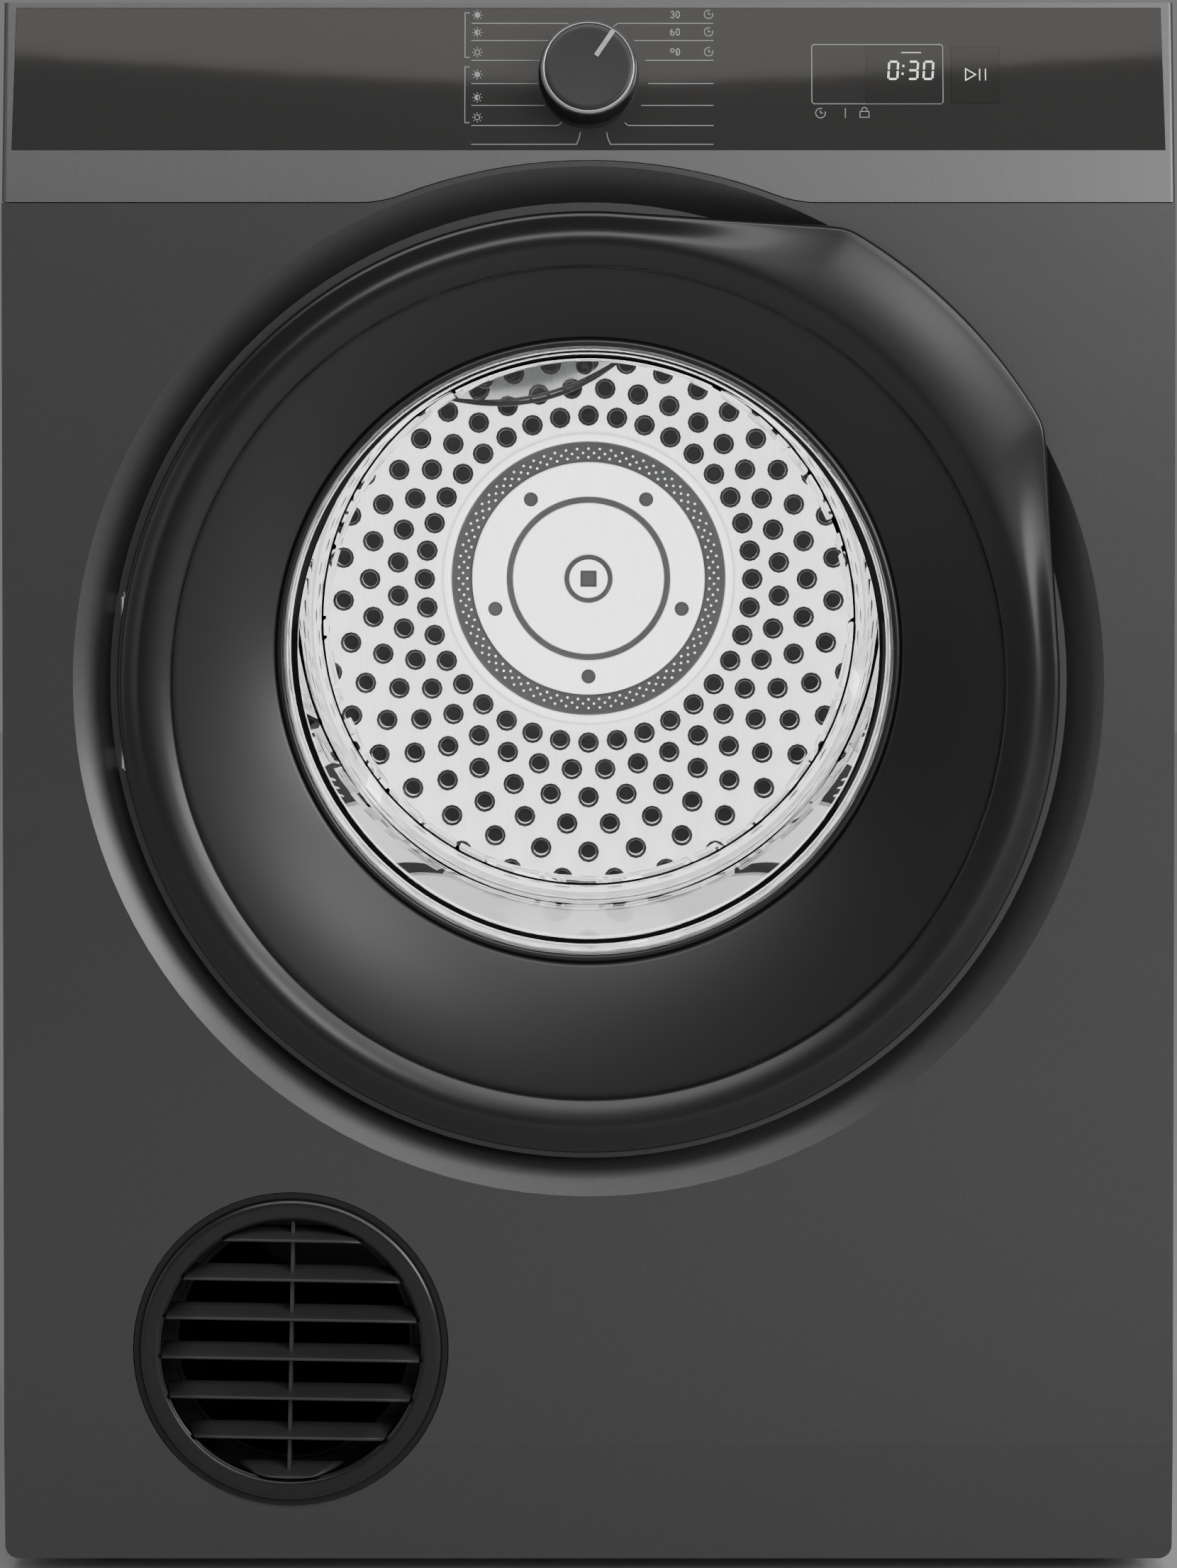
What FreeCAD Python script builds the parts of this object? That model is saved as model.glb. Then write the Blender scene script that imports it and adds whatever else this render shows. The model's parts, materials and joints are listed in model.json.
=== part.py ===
import FreeCAD, Part
import math
import os
import Sketcher
from FreeCAD import Placement, Rotation, Vector

# A front-loading, front-venting clothes dryer. Millimetres, +Z up, the door faces -Y and X
# runs to the right of someone facing the door. The origin is on the floor under the middle.

doc = FreeCAD.newDocument("dryer")

SIZES = {
    # cabinet
    "width": 600,
    "body_height": 800,
    "body_depth": 562,
    "foot_height": 10,
    "front_y": -275.55,
    "sheet": 2,
    "seam": 0.3,
    "corner": 7,
    "flange": 15,
    "tray_height": 27,
    "tuck_height": 60,
    "tuck_depth": 4,
    # fascia
    "fascia_height": 103.3,
    "fascia_depth": 66,
    "fascia_lean": 7.5,
    "fascia_wall": 3,
    "arch_rise": 21.6,
    "arch_fillet": 60,
    "overlay_low": 27.6,
    "overlay_margin": 2.9,
    "overlay_side": 5,
    "overlay_thick": 2,
    "display_x": 161.6,
    "display_width": 39,
    "start_x": 198.2,
    "start_width": 25,
    "window_height": 29.8,
    "window_v": 66.3,
    "knob_v": 66.5,
    "knob_radius": 23.4,
    "knob_skirt": 25.6,
    "knob_height": 22,
    "knob_shaft": 3,
    # door and the dish round it
    "door_z": 461.5,
    "dish_radius": 264,
    "dish_inner": 246,
    "dish_depth": 12,
    "opening": 205,
    "door_radius": 241,
    "door_lip": 7.4,
    "door_proud": 13,
    "ear_radius": 267.5,
    "porthole_z": 477,
    "glass_margin": 48,
    "bowl_z": 488,
    "bowl_taper": 9,
    "bowl_depth": 130,
    "glass": 5,
    "hinge_x": 236,
    "hinge_d": 1,
    "pin_radius": 2.5,
    "latch_x": 227,
    # drum
    "drum_z": 497,
    "drum_radius": 282,
    "drum_front": 46,
    "drum_rear_gap": 18,
    "drum_neck": 226,
    "drum_sheet": 1.5,
    "trunnion": 94,
    "filter_radius": 88,
    "hole_radius": 5,
    "lifter_height": 66,
    # air path
    "vent_x": -152.8,
    "vent_z": 118.6,
    "vent_hole": 81,
    "vent_gap": 3.4,
    "vent_rim": 11.1,
    "slat_pitch": 20.3,
    "duct_radius": 62,
    "bulkhead_front": 32,
    "rear_room": 74,
    "fan_radius": 120,
    # drive
    "motor_x": 120,
    "motor_z": 112,
    "motor_radius": 58,
    "shaft_radius": 6,
    "pulley_radius": 10,
    "fan_pulley": 20,
    "idler_radius": 15,
    "belt_thick": 1.7,
    "motor_length": 128,
    "motor_room": 38,
    "pulley_reach": 22,
    "fan_belt_gap": 21,
    # clearances
    "running": 0.05,
    "soft": 0.3,
}

sheet = doc.addObject("Spreadsheet::Sheet", "Sizes")
for row, (alias, number) in enumerate(SIZES.items(), start=1):
    sheet.set(f"A{row}", alias)
    sheet.set(f"B{row}", str(number))
    sheet.setAlias(f"B{row}", alias)
doc.recompute()


class Size:
    """A length together with the spreadsheet expression it comes from."""

    def __init__(self, value, text):
        self.value = float(value)
        self.text = text

    def __add__(self, other):
        other = size(other)
        return Size(self.value + other.value, f"({self.text} + {other.text})")

    def __sub__(self, other):
        other = size(other)
        return Size(self.value - other.value, f"({self.text} - {other.text})")

    def __mul__(self, other):
        other = size(other)
        return Size(self.value * other.value, f"({self.text} * {other.text})")

    def __truediv__(self, other):
        other = size(other)
        return Size(self.value / other.value, f"({self.text} / {other.text})")

    def __radd__(self, other):
        return size(other) + self

    def __rsub__(self, other):
        return size(other) - self

    def __rmul__(self, other):
        return size(other) * self

    def __neg__(self):
        return Size(-self.value, f"(0 - {self.text})")

    def __float__(self):
        return self.value


def size(thing):
    return thing if isinstance(thing, Size) else Size(thing, repr(float(thing)))


def cell(alias):
    return Size(getattr(sheet, alias), f"Sizes.{alias}")


def tangent(angle):
    return Size(math.tan(math.radians(angle.value)), f"tan({angle.text})")


def cosine(angle):
    return Size(math.cos(math.radians(angle.value)), f"cos({angle.text})")


S = {alias: cell(alias) for alias in SIZES}
half = S["width"] / 2
porthole = S["opening"] - S["glass_margin"]
bowl_radius = porthole - S["bowl_taper"]
vent_ring = S["vent_hole"] - S["vent_gap"]
bulkhead_rear = S["body_depth"] - S["rear_room"]
drum_back_d = bulkhead_rear - S["drum_rear_gap"]
fan_belt_d = S["body_depth"] - S["fan_belt_gap"]
motor_d = bulkhead_rear - S["motor_room"] - S["motor_length"]
belt_d = motor_d - S["pulley_reach"]
floor_z = S["foot_height"]
top_z = S["foot_height"] + S["body_height"]
seam_z = top_z - S["fascia_height"]
arch = seam_z - S["door_z"] + S["arch_rise"]
tray_top = floor_z + S["tray_height"]
lean = tangent(S["fascia_lean"])


def deep(distance):
    """The Y of something that lies this far behind the front face."""
    return S["front_y"] + distance


# ---------------------------------------------------------------- building blocks

PARTS = {}


def bind(obj, prop, thing):
    thing = size(thing)
    obj.setExpression(prop, thing.text)


def locate(obj, x, y, z, axis=None, angle=0):
    """Places an object; x, y and z stay bound to the sheet."""
    if axis:
        obj.Placement = Placement(Vector(), Rotation(Vector(*axis), float(angle)))
        if isinstance(angle, Size):
            bind(obj, "Placement.Rotation.Angle", angle)
    bind(obj, "Placement.Base.x", x)
    bind(obj, "Placement.Base.y", y)
    bind(obj, "Placement.Base.z", z)
    return obj


def keep(label, obj):
    obj.Label = label
    PARTS[label] = obj
    return obj


def block(x0, x1, y0, y1, z0, z1, name="block"):
    """A box between two corners."""
    x0, x1, y0, y1, z0, z1 = (size(v) for v in (x0, x1, y0, y1, z0, z1))
    obj = doc.addObject("Part::Box", name)
    bind(obj, "Length", x1 - x0)
    bind(obj, "Width", y1 - y0)
    bind(obj, "Height", z1 - z0)
    return locate(obj, x0, y0, z0)


TURN = {"x": ((0, 1, 0), 90), "y": ((1, 0, 0), -90), "z": None}


def rod(radius, x, y, z, length, along="y", name="rod"):
    """A cylinder that starts at a point and runs along one axis."""
    obj = doc.addObject("Part::Cylinder", name)
    bind(obj, "Radius", radius)
    bind(obj, "Height", length)
    turn = TURN[along]
    if turn:
        return locate(obj, x, y, z, *turn)
    return locate(obj, x, y, z)


def fused(*shapes, name="fused"):
    obj = doc.addObject("Part::MultiFuse", name)
    obj.Shapes = list(shapes)
    return obj


def cut(base, *tools, name="cut"):
    obj = doc.addObject("Part::Cut", name)
    obj.Base = base
    obj.Tool = tools[0] if len(tools) == 1 else fused(*tools)
    return obj


def polygon(body, plane, points):
    """A closed sketch whose corners are each bound to the sheet."""
    sketch = body.newObject("Sketcher::SketchObject", "Outline")
    origin = [f for f in body.Origin.OriginFeatures if f.Role == plane][0]
    sketch.AttachmentSupport = [(origin, "")]
    sketch.MapMode = "FlatFace"
    corners = [(size(a), size(b)) for a, b in points]
    spots = [Vector(a.value, b.value, 0) for a, b in corners]
    count = len(spots)
    for index, spot in enumerate(spots):
        sketch.addGeometry(Part.LineSegment(spot, spots[(index + 1) % count]), False)
    for index in range(count):
        ends = (index, 2, (index + 1) % count, 1)
        sketch.addConstraint(Sketcher.Constraint("Coincident", *ends))
    for index, corner in enumerate(corners):
        for kind, thing in zip(("DistanceX", "DistanceY"), corner):
            rule = Sketcher.Constraint(kind, -1, 1, index, 1, thing.value)
            number = sketch.addConstraint(rule)
            bind(sketch, f"Constraints[{number}]", thing)
    return sketch


def turned(label, points, x=0, y=0, z=0, plane="XY_Plane"):
    """A body turned about its own Y (XY plane) or Z (XZ plane); points are radius, height."""
    body = doc.addObject("PartDesign::Body", label)
    sketch = polygon(body, plane, points)
    turn = body.newObject("PartDesign::Revolution", "Turn")
    turn.Profile = sketch
    turn.ReferenceAxis = (sketch, ["V_Axis"])
    turn.Angle = 360
    sketch.Visibility = False
    body.Tip = turn
    return locate(body, x, y, z)


def prism(label, points, plane, length, x=0, y=0, z=0, middle=False):
    """A body padded from a polygon."""
    body = doc.addObject("PartDesign::Body", label)
    sketch = polygon(body, plane, points)
    pad = body.newObject("PartDesign::Pad", "Pad")
    pad.Profile = sketch
    pad.Midplane = middle
    bind(pad, "Length", length)
    body.Tip = pad
    return locate(body, x, y, z)


def shaped(label, shape):
    """A part whose form needs Part functions; the sizes it used come from the sheet."""
    obj = doc.addObject("Part::Feature", label)
    obj.Shape = shape
    obj.Placement = shape.Placement
    return keep(label, obj)


def on_fascia(obj, u=0, v=0, w=0):
    """Stands a piece on the leaning fascia face: u across, v up the face, w out of it."""
    angle = 90 - S["fascia_lean"]
    turn = Rotation(Vector(1, 0, 0), float(angle))
    obj.Placement = Placement(Vector(), turn)
    bind(obj, "Placement.Rotation.Angle", angle)
    sine = Size(math.sin(math.radians(S["fascia_lean"].value)), "sin(Sizes.fascia_lean)")
    cosine_ = cosine(S["fascia_lean"])
    u, v, w = size(u), size(v), size(w)
    bind(obj, "Placement.Base.x", u)
    bind(obj, "Placement.Base.y", S["front_y"] + v * sine - w * cosine_)
    bind(obj, "Placement.Base.z", seam_z + v * cosine_ + w * sine)
    return obj


def disc(radius, x, y, z, length):
    """A plain cylinder shape along +Y, in numbers."""
    return Part.makeCylinder(float(radius), float(length), Vector(float(x), float(y), float(z)),
                             Vector(0, 1, 0))


def slab(x0, x1, y0, y1, z0, z1):
    """A plain box shape, in numbers."""
    low = Vector(float(x0), float(y0), float(z0))
    return Part.makeBox(float(x1) - low.x, float(y1) - low.y, float(z1) - low.z, low)


def spun(points, x, y, z):
    """A shape turned about a line along Y; points are radius and distance along Y."""
    wire = Part.makePolygon([Vector(float(r), float(d), 0) for r, d in points + points[:1]])
    shape = Part.Face(wire).revolve(Vector(), Vector(0, 1, 0), 360)
    shape.translate(Vector(float(x), float(y), float(z)))
    return shape


def loft(*rings):
    """A solid slanted cone through circles given as (radius, y, z)."""
    wires = []
    for radius, y, z in rings:
        circle = Part.Circle(Vector(0, float(y), float(z)), Vector(0, 1, 0), float(radius))
        wires.append(Part.Wire(circle.toShape()))
    return Part.makeLoft(wires, True, True)


def funnel(near, far, wall):
    """A hollow slanted cone between two circles, its wall outside them."""
    wide = [(radius + wall, y, z) for radius, y, z in (near, far)]
    return loft(*wide).cut(loft(near, far))


# ---------------------------------------------------------------- front panel and fascia

def seam_outline(gap):
    """The front panel's outline in XZ, its top edge raised by gap: straight, then an arch."""
    low, high = float(floor_z), float(seam_z) + gap
    side, corner = float(half), float(S["corner"])
    centre, radius = float(S["door_z"]), float(arch) + gap
    fillet = float(S["arch_fillet"]) - gap
    rise = high + fillet - centre
    reach = math.sqrt((radius + fillet) ** 2 - rise ** 2)
    share = radius / (radius + fillet)
    meet = (reach * share, centre + rise * share)
    bend = math.atan2(meet[1] - (high + fillet), meet[0] - reach)
    half_turn = (bend - math.pi / 2) / 2
    belly = (reach + fillet * math.cos(half_turn), high + fillet + fillet * math.sin(half_turn))
    tuck = corner * (1 - math.sqrt(0.5))

    def at(x, z):
        return Vector(x, 0, z)

    def line(a, b):
        return Part.LineSegment(at(*a), at(*b)).toShape()

    def arc(a, b, c):
        return Part.Arc(at(*a), at(*b), at(*c)).toShape()

    def left(point):
        return (-point[0], point[1])

    foot = (side - corner, low)
    edge = (side, low + corner)
    round_ = (side - tuck, low + tuck)
    shoulder = (side, high)
    start = (reach, high)
    return Part.Wire([
        line(left(foot), foot),
        arc(foot, round_, edge),
        line(edge, shoulder),
        line(shoulder, start),
        arc(start, belly, meet),
        arc(meet, (0, centre + radius), left(meet)),
        arc(left(meet), left(belly), left(start)),
        line(left(start), left(shoulder)),
        line(left(shoulder), left(edge)),
        arc(left(edge), left(round_), left(foot)),
    ])


def front_sheet(y, depth, gap=0.0):
    shape = Part.Face(seam_outline(gap)).extrude(Vector(0, depth, 0))
    shape.translate(Vector(0, y, 0))
    return shape


def front_panel():
    front, skin = float(S["front_y"]), float(S["sheet"])
    flange = float(S["flange"]) - 1
    bend_z = float(floor_z + S["tuck_height"])
    tuck = float(S["tuck_depth"])
    side, low = float(half), float(floor_z)
    plate = front_sheet(front, skin).cut(slab(-side - 1, side + 1, front - 1, front + 9, 0, bend_z))
    corners = [(front, bend_z), (front + tuck, low), (front + tuck + skin, low),
               (front + skin, bend_z), (front, bend_z)]
    wire = Part.makePolygon([Vector(-side, y, z) for y, z in corners])
    toe = Part.Face(wire).extrude(Vector(2 * side, 0, 0)).common(front_sheet(front - 1, 20))
    rim = front_sheet(front + skin / 2, flange - skin / 2)
    inner = slab(-side + skin, side - skin, front - 1, front + 20, low + skin,
                 float(top_z))
    rim = rim.cut(inner).cut(slab(-side - 1, side + 1, front, front + tuck + skin / 2, 0, bend_z))
    z, dish = float(S["door_z"]), float(S["dish_radius"])
    step, deep_, hole = float(S["dish_inner"]), float(S["dish_depth"]), float(S["opening"])
    plate = plate.cut(disc(dish, 0, front - 1, z, skin + 2))
    bowl = spun([(dish, 0), (step, deep_), (hole, deep_), (hole, deep_ + skin),
                 (step + skin / 2, deep_ + skin), (dish + skin, skin / 2), (dish + skin, 0)],
                0, front, z)
    shape = plate.fuse([toe, rim, bowl])
    vent = disc(S["vent_hole"], S["vent_x"], front - 1, S["vent_z"], 20)
    hook = float(S["latch_x"])
    slot = slab(hook - 7, hook + 5, front + deep_ - 1, front + deep_ + skin + 1, z - 14, z + 14)
    return shape.cut([vent, slot]).removeSplitter()


shaped("front_panel", front_panel())


def fascia_housing():
    front, wall = float(S["front_y"]), float(S["fascia_wall"])
    side, low, high = float(half), float(seam_z + S["seam"]), float(top_z)
    back = front + float(S["fascia_depth"])
    run = float(lean)
    base = float(seam_z)

    def wedge(inset, low_z, high_z, reach):
        spots = [(front + inset + run * (low_z - base), low_z),
                 (front + inset + run * (high_z - base), high_z),
                 (reach, high_z), (reach, low_z)]
        wire = Part.makePolygon([Vector(-side + inset, y, z) for y, z in spots + spots[:1]])
        return Part.Face(wire).extrude(Vector(2 * (side - inset), 0, 0))

    shape = wedge(0, low, high, back)
    edges = [e for e in shape.Edges if abs(e.Vertexes[0].X - e.Vertexes[-1].X) < 1e-6
             and e.BoundBox.YMax < front + 20 and abs(e.BoundBox.ZLength) > 50]
    shape = shape.makeFillet(2.5, edges)
    shape = shape.cut(wedge(wall, low - 1, high - wall, back + 1))
    shape = shape.cut(front_sheet(front - 1, 40, float(S["seam"]) + 0.2))
    return shape


housing = doc.addObject("Part::Feature", "housing_shell")
housing.Shape = fascia_housing()
overlay_high = S["fascia_height"] / cosine(S["fascia_lean"]) - S["overlay_margin"]
overlay_half = half - S["overlay_side"]


def overlay_sheet(grow, thick, name):
    wide = overlay_half + grow
    body = prism(name, [(-wide, S["overlay_low"] - grow), (wide, S["overlay_low"] - grow),
                        (wide - 1.6, overlay_high + grow), (-wide + 1.6, overlay_high + grow)],
                 "XY_Plane", thick)
    return body


def fascia_block(u0, u1, v0, v1, w0, w1, name="fascia_block"):
    """A box given in the fascia's own directions."""
    u0, u1, v0, v1, w0, w1 = (size(v) for v in (u0, u1, v0, v1, w0, w1))
    obj = doc.addObject("Part::Box", name)
    bind(obj, "Length", u1 - u0)
    bind(obj, "Width", v1 - v0)
    bind(obj, "Height", w1 - w0)
    return on_fascia(obj, u0, v0, w0)


def fascia_rod(radius, u, v, w0, w1, name="fascia_rod"):
    """A cylinder that stands on the fascia."""
    obj = doc.addObject("Part::Cylinder", name)
    bind(obj, "Radius", radius)
    bind(obj, "Height", size(w1) - w0)
    return on_fascia(obj, u, v, w0)


recess = on_fascia(overlay_sheet(0.2, 3.0, "overlay_recess"), 0, 0, -(S["overlay_thick"] - 0.3))
window_low = S["window_v"] - S["window_height"] / 2
window_high = S["window_v"] + S["window_height"] / 2
display_box = (S["display_x"] - S["display_width"] / 2, S["display_x"] + S["display_width"] / 2)
start_box = (S["start_x"] - S["start_width"] / 2, S["start_x"] + S["start_width"] / 2)
well = fascia_block(display_box[0] + 2, start_box[1] - 2, window_low + 2, window_high - 2,
                    -8, 1, "display_well")
stem_hole = fascia_rod(S["knob_shaft"] + 1.5, 0, S["knob_v"], -8, 4, "stem_hole")
posts = [fascia_rod(2.5, u, v, -14, -S["fascia_wall"] + 0.5, "board_post")
         for u in (112, 218) for v in (44, 90)]
keep("fascia_housing", cut(fused(housing, *posts), recess, well, stem_hole))

overlay = on_fascia(overlay_sheet(0, S["overlay_thick"] - 0.05, "overlay_blank"),
                    0, 0, -(S["overlay_thick"] - 0.35))
windows = [fascia_block(box[0], box[1], window_low, window_high, -4, 4, "window_hole")
           for box in (display_box, start_box)]
keep("fascia_overlay", cut(overlay, *windows,
                           fascia_rod(S["knob_shaft"] + 1.5, 0, S["knob_v"], -8, 4)))
for label, box in (("display_window", display_box), ("start_window", start_box)):
    keep(label, fascia_block(box[0] + 0.1, box[1] - 0.1, window_low + 0.1, window_high - 0.1,
                             -(S["overlay_thick"] - 0.35), 0.45, label))

board = fascia_block(106, 224, 38, 96, -16, -14.2, "board")
chips = [fascia_block(144, 180, 56, 76, -14.3, -8.5, "digit_module"),
         fascia_block(188, 208, 58, 74, -14.3, -9.5, "key_module"),
         fascia_block(114, 136, 52, 66, -34, -15.9, "relay"),
         fascia_block(114, 136, 70, 84, -34, -15.9, "relay"),
         fascia_rod(8, 196, 82, -40, -15.9, "capacitor"),
         fascia_block(150, 182, 42, 50, -28, -15.9, "connector")]
keep("control_board", fused(board, *chips))

switch = fused(fascia_block(-16, 16, S["knob_v"] - 16, S["knob_v"] + 16, -22, -3.2, "switch_box"),
               fascia_rod(4.2, 0, S["knob_v"], -3.3, -0.9, "switch_nose"))
keep("selector_switch", cut(switch, fascia_rod(S["knob_shaft"] + S["running"], 0, S["knob_v"],
                                               -18, 2, "switch_bore")))

# The knob turns on its own line, square to the leaning fascia.
skirt_w = 0.8
knob_profile = [(0, 3), (S["knob_skirt"] - 3, 3), (S["knob_skirt"] - 3, skirt_w),
                (S["knob_skirt"], skirt_w), (S["knob_skirt"], 4.5),
                (S["knob_radius"] + 1, S["knob_height"] - 3.5),
                (S["knob_radius"] - 0.6, S["knob_height"] - 1), (S["knob_radius"] - 2, S["knob_height"]),
                (0, S["knob_height"])]
knob_body = on_fascia(turned("knob_blank", knob_profile, plane="XZ_Plane"), 0, S["knob_v"], 0)
stem = fascia_rod(S["knob_shaft"], 0, S["knob_v"], -17, 3.2, "knob_stem")


def pointer_shape(grow, low, high):
    """The pointer bar, 34 degrees clockwise of straight up."""
    turn = math.radians(-34)
    spots = []
    for u, v in ((-1, 0), (1, 0), (1, 1), (-1, 1)):
        u, v = u * (1.2 + grow), 6.8 - grow + v * (15.5 + 2 * grow)
        spots.append(Vector(u * math.cos(turn) - v * math.sin(turn),
                            u * math.sin(turn) + v * math.cos(turn), low))
    return Part.Face(Part.makePolygon(spots + spots[:1])).extrude(Vector(0, 0, high - low))


knob_top = float(S["knob_height"])
groove = doc.addObject("Part::Feature", "pointer_groove")
groove.Shape = pointer_shape(0.1, knob_top - 1.6, knob_top + 1)
on_fascia(groove, 0, S["knob_v"], 0)
keep("selector_knob", cut(fused(knob_body, stem), groove))
pointer = doc.addObject("Part::Feature", "knob_pointer")
pointer.Shape = pointer_shape(0, knob_top - 1.5, knob_top + 0.3)
keep("knob_pointer", on_fascia(pointer, 0, S["knob_v"], 0))


# ---------------------------------------------------------------- cabinet

gap = S["seam"]
back_d = S["body_depth"]
inner = half - S["sheet"]
plate_y = deep(S["flange"] - 0.7)
rear_y = deep(back_d - S["sheet"])


def side_panel(label, sign):
    """A sheet with its front and rear edges folded inwards, notched under the fascia."""
    skin, fold = S["sheet"], S["flange"]
    spots = [(half, plate_y), (half, rear_y - gap), (half - fold, rear_y - gap),
             (half - fold, rear_y - gap - skin), (half - skin, rear_y - gap - skin),
             (half - skin, plate_y + skin), (half - fold, plate_y + skin), (half - fold, plate_y)]
    if sign < 0:
        spots = [(-a, b) for a, b in spots]
    body = prism(label + "_sheet", spots, "XY_Plane", top_z - gap - 20 - floor_z, 0, 0, floor_z)
    notch = block(-half - 1, half + 1, plate_y - 1, deep(S["fascia_depth"]) + gap,
                  seam_z, top_z + 1)
    keep(label, cut(body, notch))


side_panel("left_side_panel", -1)
side_panel("right_side_panel", 1)

top_y = deep(S["fascia_depth"]) + gap
top_low = top_z - 20
top_outer = block(-half, half, top_y, deep(back_d), top_low, top_z)
top_inner = block(-half + S["sheet"], half - S["sheet"], top_y + S["sheet"],
                  deep(back_d) - S["sheet"], top_low - 1, top_z - S["sheet"])
rib = block(-half + 1, half - 1, deep(300), deep(302), top_z - 12, top_z - 1)
keep("top_panel", fused(cut(top_outer, top_inner), rib))

rear = block(-half, half, rear_y, deep(back_d), floor_z, top_low - gap)
slots = [block(size(120), size(220), rear_y - 1, deep(back_d) + 1, 560 + 16 * i, 567 + 16 * i)
         for i in range(7)]
gland_x, gland_z = half - 60, size(70)
keep("rear_panel", cut(rear, *slots, rod(9, gland_x, rear_y - 1, gland_z, 5)))
gland = fused(rod(8.9, gland_x, rear_y - 5, gland_z, 12), rod(12, gland_x, deep(back_d), gland_z, 5))
keep("inlet_gland", cut(gland, rod(4.5, gland_x, rear_y - 6, gland_z, 20)))

foot_x = half - 50
foot_front = deep(60)
foot_rear = deep(back_d - 55)
FEET = {"foot_front_left": (-foot_x, foot_front), "foot_front_right": (foot_x, foot_front),
        "foot_rear_left": (-foot_x, foot_rear), "foot_rear_right": (foot_x, foot_rear)}
tray_front = plate_y + S["sheet"] + gap
tray_rear = rear_y - 2 * gap - S["sheet"]
tray_out = block(-inner + gap, inner - gap, tray_front, tray_rear, floor_z + S["sheet"] + gap,
                 tray_top)
tray_in = block(-inner + 3, inner - 3, tray_front + 3, tray_rear - 3,
                floor_z + S["sheet"] + 3, tray_top + 1)
bosses = [rod(11, x, y, floor_z + 3, 14, "z") for x, y in FEET.values()]
threads = [rod(4 + S["running"], x, y, 0, 60, "z") for x, y in FEET.values()]
keep("base_tray", cut(fused(cut(tray_out, tray_in), *bosses), *threads))
for label, (x, y) in FEET.items():
    pad_top = S["foot_height"] - 2
    profile = [(0, 0), (15, 0), (18, 1.5), (18, 4), (7, pad_top), (4, pad_top), (4, 34), (0, 34)]
    keep(label, turned(label, profile, x, y, 0, "XZ_Plane"))

# ---------------------------------------------------------------- bulkheads and seals

bulk_half = inner - gap
bulk_low, bulk_high = tray_top + gap, top_low - gap
front_bulk_y, rear_bulk_y = deep(S["bulkhead_front"]), deep(bulkhead_rear)
vent_at = (S["vent_x"], S["vent_z"])
throat = S["opening"] - 10
neck_in = S["drum_neck"] - 4
plate = block(-bulk_half, bulk_half, front_bulk_y, front_bulk_y + 2, bulk_low, bulk_high)
feet_fold = block(-bulk_half, bulk_half, front_bulk_y + 1, front_bulk_y + 12, bulk_low, bulk_low + 2)
notch = block(-half, half, front_bulk_y - 1, deep(S["fascia_depth"]) + 1, seam_z - 10, top_z)
hole = rod(throat, 0, front_bulk_y - 1, S["drum_z"] - 20, 4)
duct_hole = rod(S["duct_radius"] + 0.4, vent_at[0], front_bulk_y - 1, vent_at[1], 14)
collar = turned("bearing_collar", [(neck_in - 6, 1), (neck_in, 1), (neck_in, 34),
                                   (neck_in - 2, 34), (neck_in - 2, 2), (neck_in - 6, 2)],
                0, front_bulk_y, S["drum_z"])
keep("front_bulkhead", fused(cut(fused(plate, feet_fold), notch, hole, duct_hole), collar))
felt_in = neck_in + 0.1
keep("front_felt", turned("front_felt", [(felt_in, 16), (S["drum_neck"] - S["soft"], 16),
                                         (S["drum_neck"] - S["soft"], 33), (felt_in, 33)],
                          0, front_bulk_y, S["drum_z"]))

bearing_out = S["trunnion"] + 6
rear_plate = block(-bulk_half, bulk_half, rear_bulk_y, rear_bulk_y + 2, bulk_low, bulk_high)
rear_fold = block(-bulk_half, bulk_half, rear_bulk_y - 12, rear_bulk_y + 1, bulk_low, bulk_low + 2)
air_window = block(158, 236, rear_bulk_y - 1, rear_bulk_y + 3, 430, 550)
keep("rear_bulkhead", cut(fused(rear_plate, rear_fold),
                          rod(bearing_out, 0, rear_bulk_y - 1, S["drum_z"], 4),
                          rod(S["duct_radius"] + 0.4, vent_at[0], rear_bulk_y - 14, vent_at[1], 20),
                          rod(11, S["motor_x"], rear_bulk_y - 14, S["motor_z"], 20), air_window))
bore = S["trunnion"] + S["running"]
keep("rear_bearing", turned("rear_bearing", [(bore, -3), (bearing_out - 0.1, -3),
                                             (bearing_out - 0.1, 2.2), (bearing_out + 12, 2.2),
                                             (bearing_out + 12, 5), (bore, 5)],
                            0, rear_bulk_y, S["drum_z"]))
seal = bulkhead_rear - drum_back_d
keep("rear_felt", turned("rear_felt", [(250, S["soft"] + 1), (264, S["soft"] + 1),
                                       (264, seal - 0.1), (250, seal - 0.1)],
                         0, deep(drum_back_d), S["drum_z"]))

# ---------------------------------------------------------------- door

front_y = S["front_y"]
door_z = S["door_z"]
ring_r, ring_in = S["door_radius"], S["opening"] + S["door_lip"]
crest = -S["door_proud"]
door_back = 9
RING = [(ring_r, door_back), (ring_r, crest + 9), (ring_r - 1.4, crest + 5.5),
        (ring_r - 4, crest + 2.6), (ring_r - 8.5, crest + 0.8), (ring_r - 14, crest),
        (ring_r - 20, crest + 0.9), (ring_r - 25, crest + 2.8), (ring_in, crest + 5),
        (ring_in, crest + 8), (ring_in + 3, crest + 8), (ring_in + 4, crest + 6),
        (ring_r - 20, crest + 4), (ring_r - 14, crest + 3), (ring_r - 8, crest + 4),
        (ring_r - 4.2, crest + 6.8), (ring_r - 3, crest + 10), (ring_r - 3, door_back)]


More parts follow.
